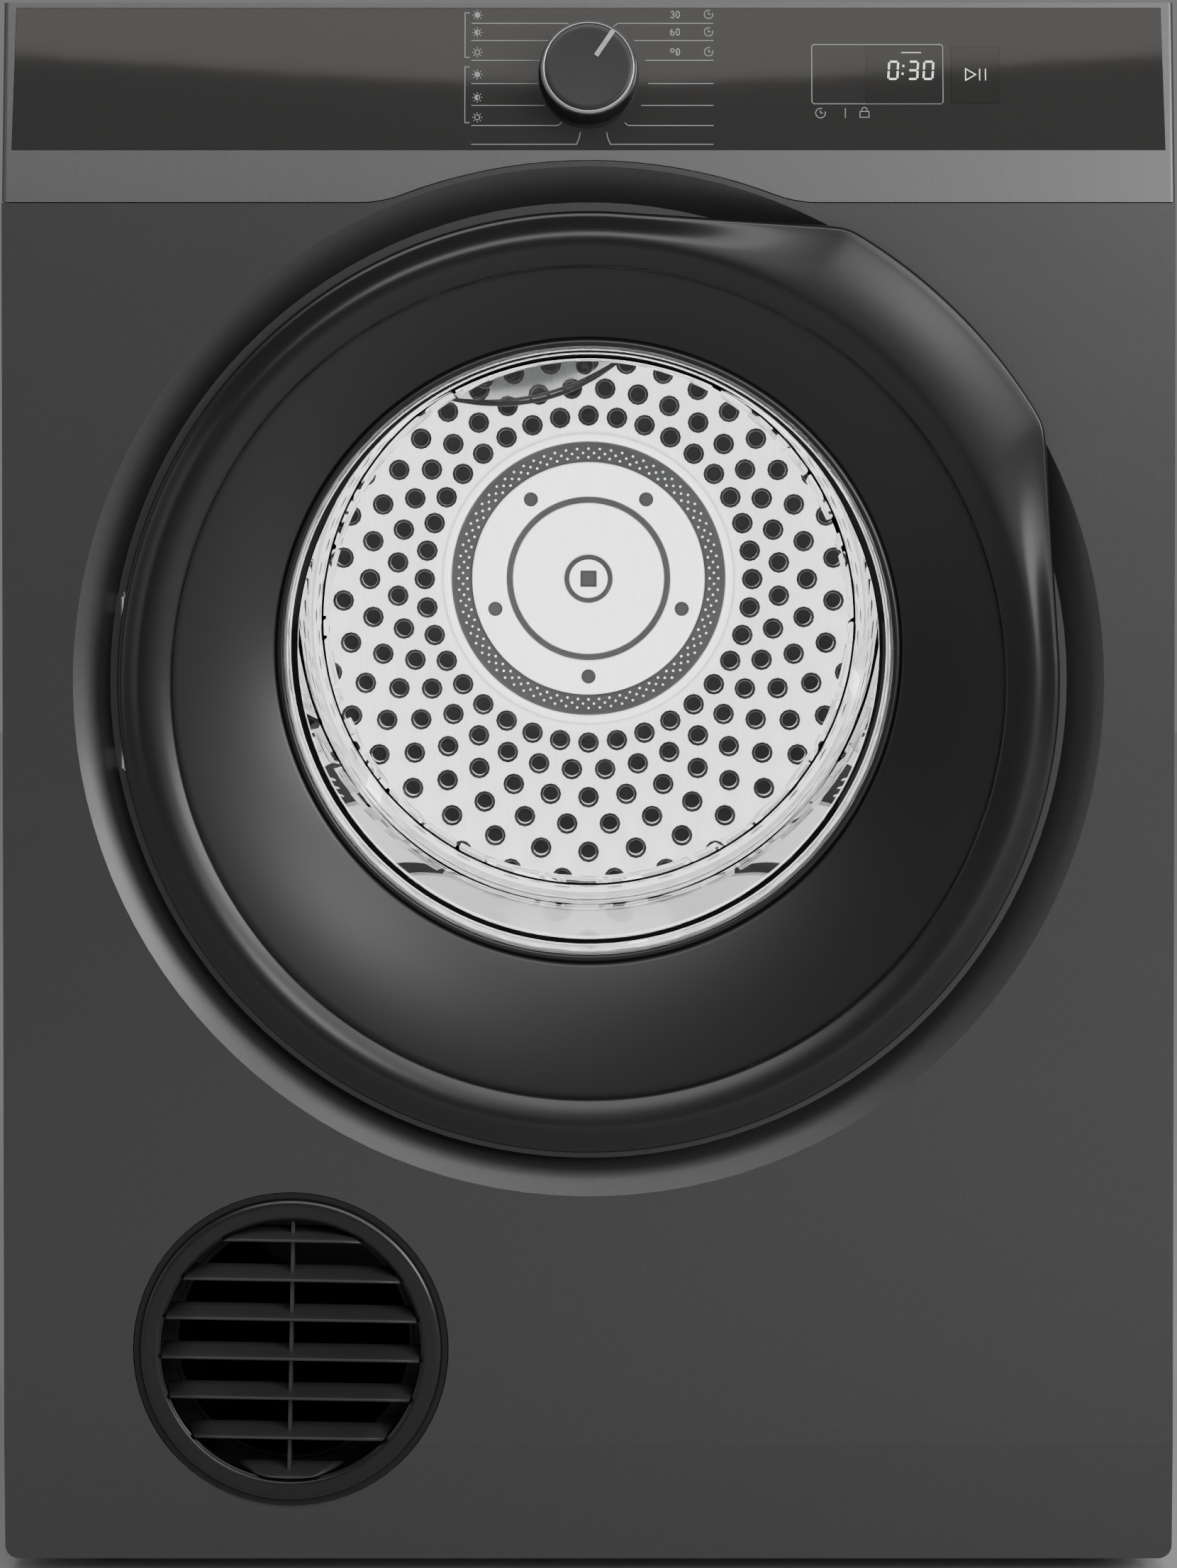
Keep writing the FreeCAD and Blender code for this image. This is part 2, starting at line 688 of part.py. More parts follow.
def ear_outline():
    """The grip: an arc further out, joined to the ring by two straight tangents."""
    radius, reach = float(ring_r), float(S["ear_radius"])

    def spot(length, angle):
        turn = math.radians(angle)
        return Vector(length * math.cos(turn), 0, length * math.sin(turn))

    low, high = spot(radius, 4), spot(radius, 86)
    near, far = spot(reach, 29.5), spot(reach, 60.5)
    arc = Part.Arc(near, spot(reach, 45), far).toShape()
    inner_arc = Part.Arc(high, spot(radius, 45), low).toShape()
    return Part.Wire([Part.LineSegment(low, near).toShape(), arc,
                      Part.LineSegment(far, high).toShape(), inner_arc])


def door_ring():
    y, z = float(front_y), float(door_z)
    ring = spun(RING, 0, y, z)
    proud = float(S["door_proud"])
    ear = Part.Face(ear_outline()).extrude(Vector(0, 4.5, 0))
    ear.translate(Vector(0, y - proud + 3.4, z))
    corners = [e for e in ear.Edges if e.BoundBox.YLength > 4
               and math.hypot(e.BoundBox.Center.x, e.BoundBox.Center.z - z) > float(ring_r) + 5]
    ear = ear.makeFillet(9, corners)
    bridge = spun([(float(ring_r) - 2.9, -proud + 6), (float(ring_r) + 0.6, -proud + 6),
                   (float(ring_r) + 0.6, -proud + 7.9), (float(ring_r) - 2.9, -proud + 7.9)],
                  0, y, z)
    wedge = ear.common(slab(0, 300, y - 30, y + 30, z, z + 300))
    ring = ring.fuse([wedge, bridge.common(slab(0, 300, y - 30, y + 30, z + 20, z + 300))])
    hinge = float(S["hinge_x"])
    groove = slab(-hinge - 12, -hinge + 7, y - 4.2, y + 20, z - 48, z + 48)
    return ring.cut(groove).removeSplitter()


shaped("door_ring", door_ring())

bead_y = 14


def door_funnel():
    y, z = float(front_y), float(door_z)
    lip = -float(S["door_proud"]) + 8.3
    near = (float(ring_in), y + lip, z)
    far = (float(porthole) + 3.5, y + bead_y, float(S["porthole_z"]))
    cone = funnel(near, far, 6)
    brim = spun([(float(ring_in), lip), (float(ring_r) - 10, lip), (float(ring_r) - 10, lip + 1.6),
                 (float(ring_in) + 1, lip + 1.6)], 0, y, z)
    bead = spun([(float(porthole) - 1, bead_y - 2), (float(porthole) + 8, bead_y - 2),
                 (float(porthole) + 8, bead_y + 4), (float(porthole) - 1, bead_y + 4)],
                0, y, float(S["porthole_z"]))
    hollow = Part.makeCone(float(porthole) + 3.4, float(porthole) + 1.4, 2,
                           Vector(0, y + bead_y - 2, float(S["porthole_z"])), Vector(0, 1, 0))
    return cone.fuse([brim, bead]).cut(hollow).removeSplitter()


shaped("door_funnel", door_funnel())


def door_bowl():
    """Moulded glass: a flange, a wall that slants upwards as it goes in, and a flat bottom."""
    y = float(front_y)
    start, glass = bead_y + 4.2, float(S["glass"])
    radius, zed = float(porthole) - 2, float(S["porthole_z"])
    far_r, far_z, far_y = float(bowl_radius), float(S["bowl_z"]), float(S["bowl_depth"])
    outer = loft((radius, y + start, zed), (far_r, y + far_y + glass, far_z))
    inner_ = loft((radius - glass, y + start - 0.5, zed), (far_r - glass, y + far_y, far_z))
    flange = disc(radius + 15, 0, y + start, zed, 4)
    return outer.fuse(flange).cut(inner_).removeSplitter()


shaped("door_bowl", door_bowl())


def back_frame():
    """The ring that closes the back of the door; it clamps the glass flange."""
    y, z, glass_z = float(front_y), float(door_z), float(S["porthole_z"])
    outer = float(ring_r) - 3.3
    inner, land = float(S["opening"]) - 3, float(S["opening"]) + 19
    flat = spun([(inner, 4), (outer, 4), (outer, door_back - 1), (land, door_back - 1),
                 (land, 6.5), (inner, 6.5)], 0, y, z)
    start = bead_y + 4.2 + 4.1
    clamp = spun([(float(porthole) - 0.5, start), (float(porthole) + 17, start),
                  (float(porthole) + 17, start + 3), (float(porthole) - 0.5, start + 3)],
                 0, y, glass_z)
    near = (inner, y + 4, z)
    far = (float(porthole) + 13.8, y + start + 2.9, glass_z)
    shape = flat.fuse([funnel(near, far, 3), clamp])
    hinge = float(S["hinge_x"])
    bowl_clear = disc(float(porthole) - 0.5, 0, y, glass_z, 60)
    notch = slab(-hinge - 12, -hinge + 10, y + 3, y + 20, z - 48, z + 48)
    return shape.cut([bowl_clear, notch]).removeSplitter()


shaped("door_back_frame", back_frame())

gasket_in, gasket_out = S["opening"] + 3, S["opening"] + 15
keep("door_gasket", turned("door_gasket", [(gasket_in, 6.6), (gasket_out, 6.6), (gasket_out, 8.5),
                                           (gasket_out - 2, S["dish_depth"] - S["soft"]),
                                           (gasket_in + 4, S["dish_depth"] - S["soft"]),
                                           (gasket_in, 8.5)], 0, front_y, door_z))
hinge_x, hinge_d = S["hinge_x"], S["hinge_d"]
land = S["dish_depth"]
knuckle = S["pin_radius"] + 1.6
plate_top = land - 1.8
base_plate = block(-hinge_x - 3, -hinge_x + 14, deep(plate_top), deep(land) - 0.05,
                   door_z - 46, door_z + 46)
lugs = []
for low in (-44, 34):
    lugs.append(rod(knuckle, -hinge_x, deep(hinge_d), door_z + low, 10, "z"))
    lugs.append(block(-hinge_x - 3, -hinge_x + 3, deep(hinge_d), deep(plate_top) + 0.5,
                      door_z + low, door_z + low + 10))
pin_hole = rod(S["pin_radius"] + S["running"], -hinge_x, deep(hinge_d), door_z - 70, 140, "z")
keep("hinge_plate", cut(fused(base_plate, *lugs), pin_hole))
leaf = fused(rod(knuckle, -hinge_x, deep(hinge_d), door_z - 33.7, 67.4, "z"),
             block(-hinge_x, -hinge_x + 24, deep(hinge_d) - 1, deep(hinge_d) + 1,
                   door_z - 33, door_z + 33),
             block(-hinge_x + 20, -hinge_x + 32, deep(hinge_d) + 0.9, deep(4) - 0.1,
                   door_z - 33, door_z + 33))
leaf_bore = rod(S["pin_radius"], -hinge_x, deep(hinge_d), door_z - 60, 120, "z")
keep("hinge_leaf", cut(leaf, leaf_bore))
keep("hinge_pin", rod(S["pin_radius"], -hinge_x, deep(hinge_d), door_z - 45, 90, "z", "hinge_pin"))

hook_x = S["latch_x"]
hook = fused(block(hook_x - 2, hook_x + 2, deep(9), deep(30), door_z - 8, door_z + 8),
             block(hook_x - 5, hook_x + 2, deep(26), deep(30), door_z - 8, door_z + 8),
             block(hook_x - 5, hook_x + 8, deep(8.1), deep(10.2), door_z - 11, door_z + 11))
keep("latch_hook", hook)
under = land + S["sheet"]
case = cut(block(hook_x - 24, hook_x + 9, deep(under), deep(under) + 15, door_z - 20, door_z + 20),
           block(hook_x - 22, hook_x + 7, deep(under) - 1, deep(under) + 13,
                 door_z - 18, door_z + 18),
           block(hook_x - 7, hook_x + 4, deep(under) + 10, deep(under) + 16,
                 door_z - 9, door_z + 9))
keep("latch_housing", case)
keep("latch_bolt", fused(block(hook_x - 18, hook_x - 5.6, deep(under) + 4, deep(under) + 12.7,
                               door_z - 7, door_z + 7),
                         block(hook_x - 12, hook_x - 5.6, deep(under) + 1, deep(under) + 4.2,
                               door_z - 4, door_z + 4)))

# ---------------------------------------------------------------- drum and lint filter

drum_z = S["drum_z"]
drum_r, skin = S["drum_radius"], S["drum_sheet"]
front_d, back = S["drum_front"], drum_back_d
drum_in = drum_r - skin
keep("drum_shell", turned("drum_shell", [(drum_in, front_d + 26), (drum_r, front_d + 26),
                                         (drum_r, back), (drum_in, back)], 0, front_y, drum_z))
neck = S["drum_neck"]
lip_r = drum_in - 0.2
keep("drum_front_cone", turned("drum_front_cone", [
    (neck, front_d), (neck + skin, front_d), (neck + skin, front_d + 13),
    (lip_r, front_d + 27), (lip_r, front_d + 40), (lip_r - skin, front_d + 40),
    (lip_r - skin, front_d + 28.4), (neck, front_d + 14.4)], 0, front_y, drum_z))


def drum_back():
    """The perforated back with its rim and the hollow trunnion it turns on."""
    y, z = float(front_y), float(drum_z)
    rim, end, plate = float(lip_r), float(back), float(skin)
    pipe = float(S["trunnion"])
    mouth = float(S["filter_radius"]) - 4
    profile = [(mouth, end - plate), (rim, end - plate), (rim, end), (pipe, end),
               (pipe, float(bulkhead_rear) + 9), (pipe - 3, float(bulkhead_rear) + 9),
               (pipe - 3, end), (mouth, end)]
    shape = spun(profile, 0, y, z)
    hoop = spun([(rim - plate, end - 14), (rim, end - 14), (rim, end - plate + 0.2),
                 (rim - plate, end - plate + 0.2)], 0, y, z)
    first, last, rings, count = mouth + 15, float(drum_r) - 34, 10, 36
    holes = []
    for ring in range(rings):
        radius = first + (last - first) * ring / (rings - 1)
        for step in range(count):
            turn = math.radians(90 + (step + 0.5 * (ring % 2)) * 360 / count)
            holes.append(disc(S["hole_radius"], radius * math.cos(turn), y + end - plate - 1,
                              z + radius * math.sin(turn), plate + 2))
    return shape.fuse(hoop).cut(Part.makeCompound(holes))


shaped("drum_back_plate", drum_back())


def lifter_shape():
    """Three hollow ridges pressed against the shell, 12 degrees past the top and on thirds."""
    base = float(drum_in) - 0.3
    top = base - float(S["lifter_height"])
    foot = math.sqrt(base ** 2 - 46 ** 2)
    spots = [(-46, foot), (-20, top + 24), (-8, top), (8, top), (20, top + 24), (46, foot),
             (42, foot), (16.5, top + 25), (6, top + 3), (-6, top + 3), (-16.5, top + 25), (-42, foot)]
    wire = Part.makePolygon([Vector(x, 0, z) for x, z in spots + spots[:1]])
    length = float(back) - float(front_d) - 90
    ridge = Part.Face(wire).extrude(Vector(0, length, 0))
    ridge.translate(Vector(0, float(front_y) + float(front_d) + 50, 0))
    ridges = []
    for turn in (12, 132, 252):
        copy_ = ridge.copy()
        copy_.rotate(Vector(), Vector(0, 1, 0), -turn)
        copy_.translate(Vector(0, 0, float(drum_z)))
        ridges.append(copy_)
    return Part.makeCompound(ridges)


shaped("drum_lifters", lifter_shape())

filter_r = S["filter_radius"]
face_d = back - skin - 0.2
frame_out = turned("filter_frame", [
    (0, -7), (17, -7), (17, -3), (46, -3), (47, -1), (50, -1), (51, -3), (70, -3), (70, -1.6),
    (84, -1.6), (84, -3), (filter_r, -3), (filter_r, 0), (83.6, 0), (83.6, 14), (81, 14),
    (81, 0.6), (0, 0.6)], 0, front_y + face_d, drum_z)
grab = block(-5, 5, deep(face_d) - 8, deep(face_d) + 1, drum_z - 5, drum_z + 5)
dots = []
for step in range(5):
    turn = math.radians(-90 + 72 * step)
    dots.append(rod(4, 59.4 * math.cos(turn), deep(face_d) - 4, drum_z + 59.4 * math.sin(turn), 6))
mesh_gap = turned("mesh_gap", [(71.5, -4), (80, -4), (80, 1), (71.5, 1)],
                  0, front_y + face_d, drum_z)
spokes = [block(70, 82, deep(face_d) - 1.6, deep(face_d) + 0.6, drum_z - 2, drum_z + 2),
          block(-82, -70, deep(face_d) - 1.6, deep(face_d) + 0.6, drum_z - 2, drum_z + 2),
          block(-2, 2, deep(face_d) - 1.6, deep(face_d) + 0.6, drum_z + 70, drum_z + 82),
          block(-2, 2, deep(face_d) - 1.6, deep(face_d) + 0.6, drum_z - 82, drum_z - 70)]
keep("lint_filter", fused(cut(frame_out, grab, mesh_gap, *dots), *spokes))
keep("filter_mesh", turned("filter_mesh", [(70.5, 0.9), (80.9, 0.9), (80.9, 1.5), (70.5, 1.5)],
                           0, front_y + face_d, drum_z))

# ---------------------------------------------------------------- air path

vent_x, vent_z = S["vent_x"], S["vent_z"]
cup_out = S["vent_hole"] - 0.4
cup_in = vent_ring + S["running"]
duct_r = S["duct_radius"]
keep("vent_collar", turned("vent_collar", [
    (cup_in, 0.6), (cup_out, 0.6), (cup_out, 30.5), (duct_r + 0.4, 30.5), (duct_r + 0.4, 27.5),
    (cup_in, 27.5)], vent_x, front_y, vent_z))
vent_in = vent_ring - S["vent_rim"]
ring_out = vent_ring
keep("vent_ring", turned("vent_ring", [
    (ring_out, -1.5), (ring_out, 16), (ring_out - 3, 16), (ring_out - 3, 3), (vent_in, 3),
    (vent_in, -1.2), (vent_in + 1.2, -2.4), (ring_out - 1.4, -2.6)], vent_x, front_y, vent_z))


def louvre():
    """Seven sloping slats and one upright rib, cut to the ring's round mouth."""
    y, pitch = float(front_y), float(S["slat_pitch"])
    spots = [(0.4, -5.4), (2.0, -5.4), (14.6, 5.0), (14.6, 6.4), (13.0, 6.4), (0.4, -4.0)]
    slats = []
    for index in range(-3, 4):
        wire = Part.makePolygon([Vector(-90, y + d, h + pitch * index)
                                 for d, h in spots + spots[:1]])
        slats.append(Part.Face(wire).extrude(Vector(180, 0, 0)))
    rib_ = slab(-1, 1, y + 3, y + 13, -90, 90)
    mouth = disc(float(vent_in) - 0.3, 0, y - 5, 0, 30)
    shape = slats[0].fuse(slats[1:] + [rib_]).common(mouth)
    shape.rotate(Vector(), Vector(0, 1, 0), 1)
    shape.translate(Vector(float(vent_x), 0, float(vent_z)))
    return shape


shaped("vent_louvre", louvre())

duct = turned("exhaust_duct", [(duct_r - 2, 28.5), (duct_r, 28.5),
                               (duct_r, bulkhead_rear + 4), (duct_r - 2, bulkhead_rear + 4)],
              vent_x, front_y, vent_z)
keep("exhaust_duct", duct)


def scroll(inset, low, high):
    """The fan's round casing with a chute down to the exhaust duct."""
    y, wall = float(deep(low)), float(high - low)
    radius = float(S["fan_radius"]) + 17 - inset
    round_ = disc(radius, 0, y, drum_z, wall)
    chute = slab(float(vent_x) - 60 - 4 + inset, float(vent_x) + 66 - inset, y, y + wall,
                 float(vent_z) - 66 + inset, float(drum_z))
    return round_.fuse(chute).removeSplitter()


rear_d = bulkhead_rear
house_d = rear_d + 2.2


def blower_housing():
    shape = scroll(0, house_d, house_d + 38).cut(scroll(2, house_d + 2, house_d + 40))
    y = float(deep(house_d)) - 1
    eye = disc(float(bearing_out) + 12.5, 0, y, drum_z, 4)
    outlet = disc(float(duct_r) + 0.4, vent_x, y, vent_z, 4)
    return shape.cut([eye, outlet])


shaped("blower_housing", blower_housing())
cover_d = house_d + 38.2


def blower_cover():
    shape = scroll(0, cover_d, cover_d + 2)
    boss = disc(12, 0, float(deep(cover_d)) - 6, drum_z, 8)
    return shape.fuse(boss).cut(disc(5 + float(S["running"]), 0, float(deep(cover_d)) - 9, drum_z, 14))


shaped("blower_cover", blower_cover())


def fan():
    y, z, radius = float(deep(house_d)), float(drum_z), float(S["fan_radius"])
    plate = disc(radius, 0, y + 29, z, 1.5)
    hub = disc(15, 0, y + 14, z, 16)
    ring = spun([(radius - 26, 7), (radius, 7), (radius, 8.5), (radius - 26, 8.5)], 0, y, z)
    blades = []
    for step in range(24):
        blade = slab(radius - 25, radius - 0.5, y + 8, y + 29.5, -0.75, 0.75)
        blade.rotate(Vector(radius - 25, 0, 0), Vector(0, 1, 0), 32)
        blade = blade.common(disc(radius, 0, y, 0, 40))
        blade.rotate(Vector(), Vector(0, 1, 0), 15 * step)
        blade.translate(Vector(0, 0, z))
        blades.append(blade)
    return plate.fuse([hub, ring] + blades).cut(disc(5 + float(S["running"]), 0, y, z, 40))


shaped("fan_wheel", fan())
fan_axle = rod(5, 0, deep(house_d) + 12, drum_z, fan_belt_d + 6 - house_d - 12)
fan_wheel_pulley = turned("fan_pulley", [
    (4, -5), (S["fan_pulley"] + 2, -5), (S["fan_pulley"] + 2, -4), (S["fan_pulley"], -4),
    (S["fan_pulley"], 4), (S["fan_pulley"] + 2, 4), (S["fan_pulley"] + 2, 5), (4, 5)],
    0, deep(fan_belt_d), drum_z)
keep("fan_shaft", fused(fan_axle, fan_wheel_pulley))

heat_y = deep(rear_d + 2.2)
heat_out = block(152, 286, heat_y, heat_y + 46, 392, 600)
heat_in = block(154, 284, heat_y - 1, heat_y + 44, 394, 598)
inlets = [block(170 + 28 * i, 188 + 28 * i, heat_y + 40, heat_y + 50, 410, 420) for i in range(4)]
keep("heater_housing", cut(heat_out, heat_in, *inlets))
bars = [rod(3.2, 172 + 22 * i, heat_y + 22, 430, 140, "z") for i in range(5)]
joins = [block(172 + 22 * i, 194 + 22 * i, heat_y + 19, heat_y + 25,
               567 if i % 2 == 0 else 427, 573 if i % 2 == 0 else 433) for i in range(4)]
legs = [block(169, 175, heat_y + 19, heat_y + 25, 394.3, 432),
        block(257, 263, heat_y + 19, heat_y + 25, 394.3, 432)]
keep("heater_element", fused(*bars, *joins, *legs))

# ---------------------------------------------------------------- drive

motor_x, motor_z, motor_r = S["motor_x"], S["motor_z"], S["motor_radius"]
shaft_r = S["shaft_radius"]
motor_len = S["motor_length"]
keep("motor", turned("motor", [
    (shaft_r + S["running"], -4), (16, -4), (16, 0), (motor_r - 8, 0), (motor_r, 8),
    (motor_r, motor_len - 8), (motor_r - 8, motor_len), (16, motor_len), (16, motor_len + 4),
    (shaft_r + S["running"], motor_len + 4)], motor_x, deep(motor_d), motor_z))
tray_floor = floor_z + S["sheet"] + 3
saddle_low = tray_floor + gap
saddle = block(motor_x - 56, motor_x + 56, deep(motor_d) + 20, deep(motor_d) + 100,
               saddle_low, motor_z - 30)
hollow = rod(motor_r + 0.3, motor_x, deep(motor_d) - 10, motor_z, 150)
under_cut = block(motor_x - 50, motor_x + 50, deep(motor_d) + 26, deep(motor_d) + 94,
                  saddle_low + 6, motor_z)
idle_x, idle_z = motor_x - 60, 75
arm_d = belt_d + 14
post = fused(block(idle_x - 10, idle_x + 10, deep(arm_d) + 6, deep(motor_d) + 30, saddle_low,
                   saddle_low + 5),
             block(idle_x - 10, idle_x + 10, deep(arm_d) + 6, deep(arm_d) + 9, saddle_low,
                   idle_z + 9))
post_pin = rod(4, idle_x, deep(arm_d) - 1, idle_z, 8)
keep("motor_bracket", fused(cut(saddle, hollow, under_cut), post, post_pin))

keep("motor_shaft", rod(shaft_r, motor_x, deep(belt_d) - 12, motor_z,
                        fan_belt_d - belt_d + 20, "y", "motor_shaft"))


def pulley_profile(radius, middle, width):
    return [(shaft_r, middle - width), (radius + 2, middle - width), (radius + 2, middle - width + 1),
            (radius, middle - width + 1), (radius, middle + width - 1),
            (radius + 2, middle + width - 1), (radius + 2, middle + width), (shaft_r, middle + width)]


fan_drive = size(12)
keep("motor_pulleys", fused(
    turned("belt_pulley", pulley_profile(S["pulley_radius"], belt_d, 8), motor_x, front_y,
           motor_z),
    turned("fan_pulley_small", pulley_profile(fan_drive, fan_belt_d, 5), motor_x, front_y,
           motor_z)))


def hull(first, second, low, high, grow=0.0):
    """A slab whose outline wraps two circles, each given as x, z, radius."""
    (x1, z1, r1), (x2, z2, r2) = first, second
    r1, r2 = r1 + grow, r2 + grow
    span = math.hypot(x2 - x1, z2 - z1)
    lean_ = math.atan2(z2 - z1, x2 - x1)
    open_ = math.acos((r1 - r2) / span)
    spots = []
    for sign, order in ((1, (1, 2)), (-1, (2, 1))):
        for which in order:
            x, z, r = (x1, z1, r1) if which == 1 else (x2, z2, r2)
            turn = lean_ + sign * open_
            spots.append(Vector(x + r * math.cos(turn), low, z + r * math.sin(turn)))
    face = Part.Face(Part.makePolygon(spots + spots[:1]))
    body = face.extrude(Vector(0, high - low, 0))
    return body.fuse([disc(r1, x1, low, z1, high - low), disc(r2, x2, low, z2, high - low)])


def belt(first, second, middle, width):
    low = float(deep(middle)) - width / 2
    inside = hull(first, second, low, low + width, float(S["soft"]))
    outside = hull(first, second, low, low + width, float(S["soft"] + S["belt_thick"]))
    return outside.cut(inside).removeSplitter()


drum_circle = (0.0, float(drum_z), float(drum_r))
drive_circle = (float(motor_x), float(motor_z), float(S["pulley_radius"]))
shaped("drum_belt", belt(drum_circle, drive_circle, belt_d, 10))
shaped("fan_belt", belt((0.0, float(drum_z), float(S["fan_pulley"])),
                        (float(motor_x), float(motor_z), float(fan_drive)), fan_belt_d, 6))


def idler_spot():
    """The idler rests against the outside of the belt's left run, halfway along it."""
    span = math.hypot(drive_circle[0], drive_circle[1] - drum_circle[1])
    lean_ = math.atan2(drive_circle[1] - drum_circle[1], drive_circle[0])
    turn = lean_ - math.acos((drum_circle[2] - drive_circle[2]) / span)
    ends = [(x + r * math.cos(turn), z + r * math.sin(turn))
            for x, z, r in (drum_circle, drive_circle)]
    out = float(S["idler_radius"] + S["belt_thick"] + 2 * S["soft"])
    share = 0.42
    return (ends[0][0] * share + ends[1][0] * (1 - share) + out * math.cos(turn),
            ends[0][1] * share + ends[1][1] * (1 - share) + out * math.sin(turn))


IDLE = idler_spot()


def idler_arm():
    y = float(deep(arm_d))
    start = (float(idle_x), float(idle_z), 9.0)
    end = (IDLE[0], IDLE[1], 8.0)
    plate_ = hull(start, end, y, y + 3)
    axle = disc(4, IDLE[0], y - 22, IDLE[1], 22.5)
    return plate_.fuse(axle).cut(disc(4 + float(S["running"]), idle_x, y - 5, idle_z, 20))


shaped("idler_arm", idler_arm())
idler = spun([(4 + float(S["running"]), -8), (float(S["idler_radius"]), -8),
              (float(S["idler_radius"]), 8), (4 + float(S["running"]), 8)],
             IDLE[0], float(deep(belt_d)), IDLE[1])
shaped("idler_pulley", idler)

# ---------------------------------------------------------------- screws


rear_screws = []
for side in (-1, 1):
    for height in (60, 300, 540, 760):
        head = rod(4, (half - 12) * side, deep(back_d) + 0.05, height, 2.4)
        rear_screws.append(head)
keep("rear_screws", fused(*rear_screws))

# ---------------------------------------------------------------- check and write

doc.recompute()
for obj in doc.Objects:
    if "Invalid" in obj.State or "Error" in obj.State:
        raise RuntimeError(f"{obj.Label} did not build: {obj.State}")
os.makedirs("parts", exist_ok=True)
for label, obj in PARTS.items():
    if obj.Shape.isNull() or not obj.Shape.isValid():
        raise RuntimeError(f"{label} has no valid shape")
    obj.Shape.exportStep(f"parts/{label}.step")
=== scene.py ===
import json
import math

import bpy
import numpy as np
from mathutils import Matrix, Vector


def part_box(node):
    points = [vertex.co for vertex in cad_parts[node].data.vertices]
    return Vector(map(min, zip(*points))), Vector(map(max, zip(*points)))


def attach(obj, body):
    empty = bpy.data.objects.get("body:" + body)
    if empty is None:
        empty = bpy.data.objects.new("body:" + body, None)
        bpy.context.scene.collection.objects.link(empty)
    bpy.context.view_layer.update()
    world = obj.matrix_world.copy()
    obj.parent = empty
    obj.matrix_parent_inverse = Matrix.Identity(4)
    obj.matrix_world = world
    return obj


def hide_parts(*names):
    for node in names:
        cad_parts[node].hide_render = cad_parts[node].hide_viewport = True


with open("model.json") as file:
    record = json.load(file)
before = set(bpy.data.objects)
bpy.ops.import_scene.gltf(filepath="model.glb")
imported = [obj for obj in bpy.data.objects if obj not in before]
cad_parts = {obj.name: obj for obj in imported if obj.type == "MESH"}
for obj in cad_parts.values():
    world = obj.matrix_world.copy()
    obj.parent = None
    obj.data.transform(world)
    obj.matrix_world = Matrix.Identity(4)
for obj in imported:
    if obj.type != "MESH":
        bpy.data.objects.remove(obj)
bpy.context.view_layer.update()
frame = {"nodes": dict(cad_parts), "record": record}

# ---------------------------------------------------------------- places taken from the frame

JOINT = {joint["name"]: joint for joint in frame["record"]["behaviour"]["joints"]}
MM = 0.001
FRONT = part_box("front_panel")[0][1]


def pin(name):
    """Where a joint's axis passes."""
    return np.array(JOINT[name]["pos_m"])


DOOR_Z = pin("door_hinge")[2]
DRUM_Z = pin("drum_spin")[2]
VENT = pin("vent_turn")
KNOB = pin("knob_turn")
KNOB_AXIS = np.array(JOINT["knob_turn"]["axis"])
LEAN = math.asin(KNOB_AXIS[2])
PORT_Z = DOOR_Z + 15.5 * MM
BOWL_Z = DOOR_Z + 26.5 * MM
DRUM_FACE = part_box("drum_back_plate")[0][1]


# ---------------------------------------------------------------- shader maths

class Value:
    """A number that varies over a surface; arithmetic on it adds Math nodes."""

    def __init__(self, tree, socket):
        self.tree, self.socket = tree, socket

    def _math(self, operation, *others):
        return self.tree.node("ShaderNodeMath", {"operation": operation},
                              {i: v for i, v in enumerate((self,) + others)})[0]

    def __add__(self, other):
        return self._math("ADD", other)

    def __mul__(self, other):
        return self._math("MULTIPLY", other)

    __radd__, __rmul__ = __add__, __mul__

    def __sub__(self, other):
        return self._math("SUBTRACT", other)

    def __rsub__(self, other):
        return self * -1 + other

    def over(self, low, high, to_low=0.0, to_high=1.0):
        """A smooth step from to_low to to_high as the number goes from low to high."""
        return self.tree.node("ShaderNodeMapRange", {"interpolation_type": "SMOOTHSTEP"},
                              {0: self, 1: low, 2: high, 3: to_low, 4: to_high})[0]


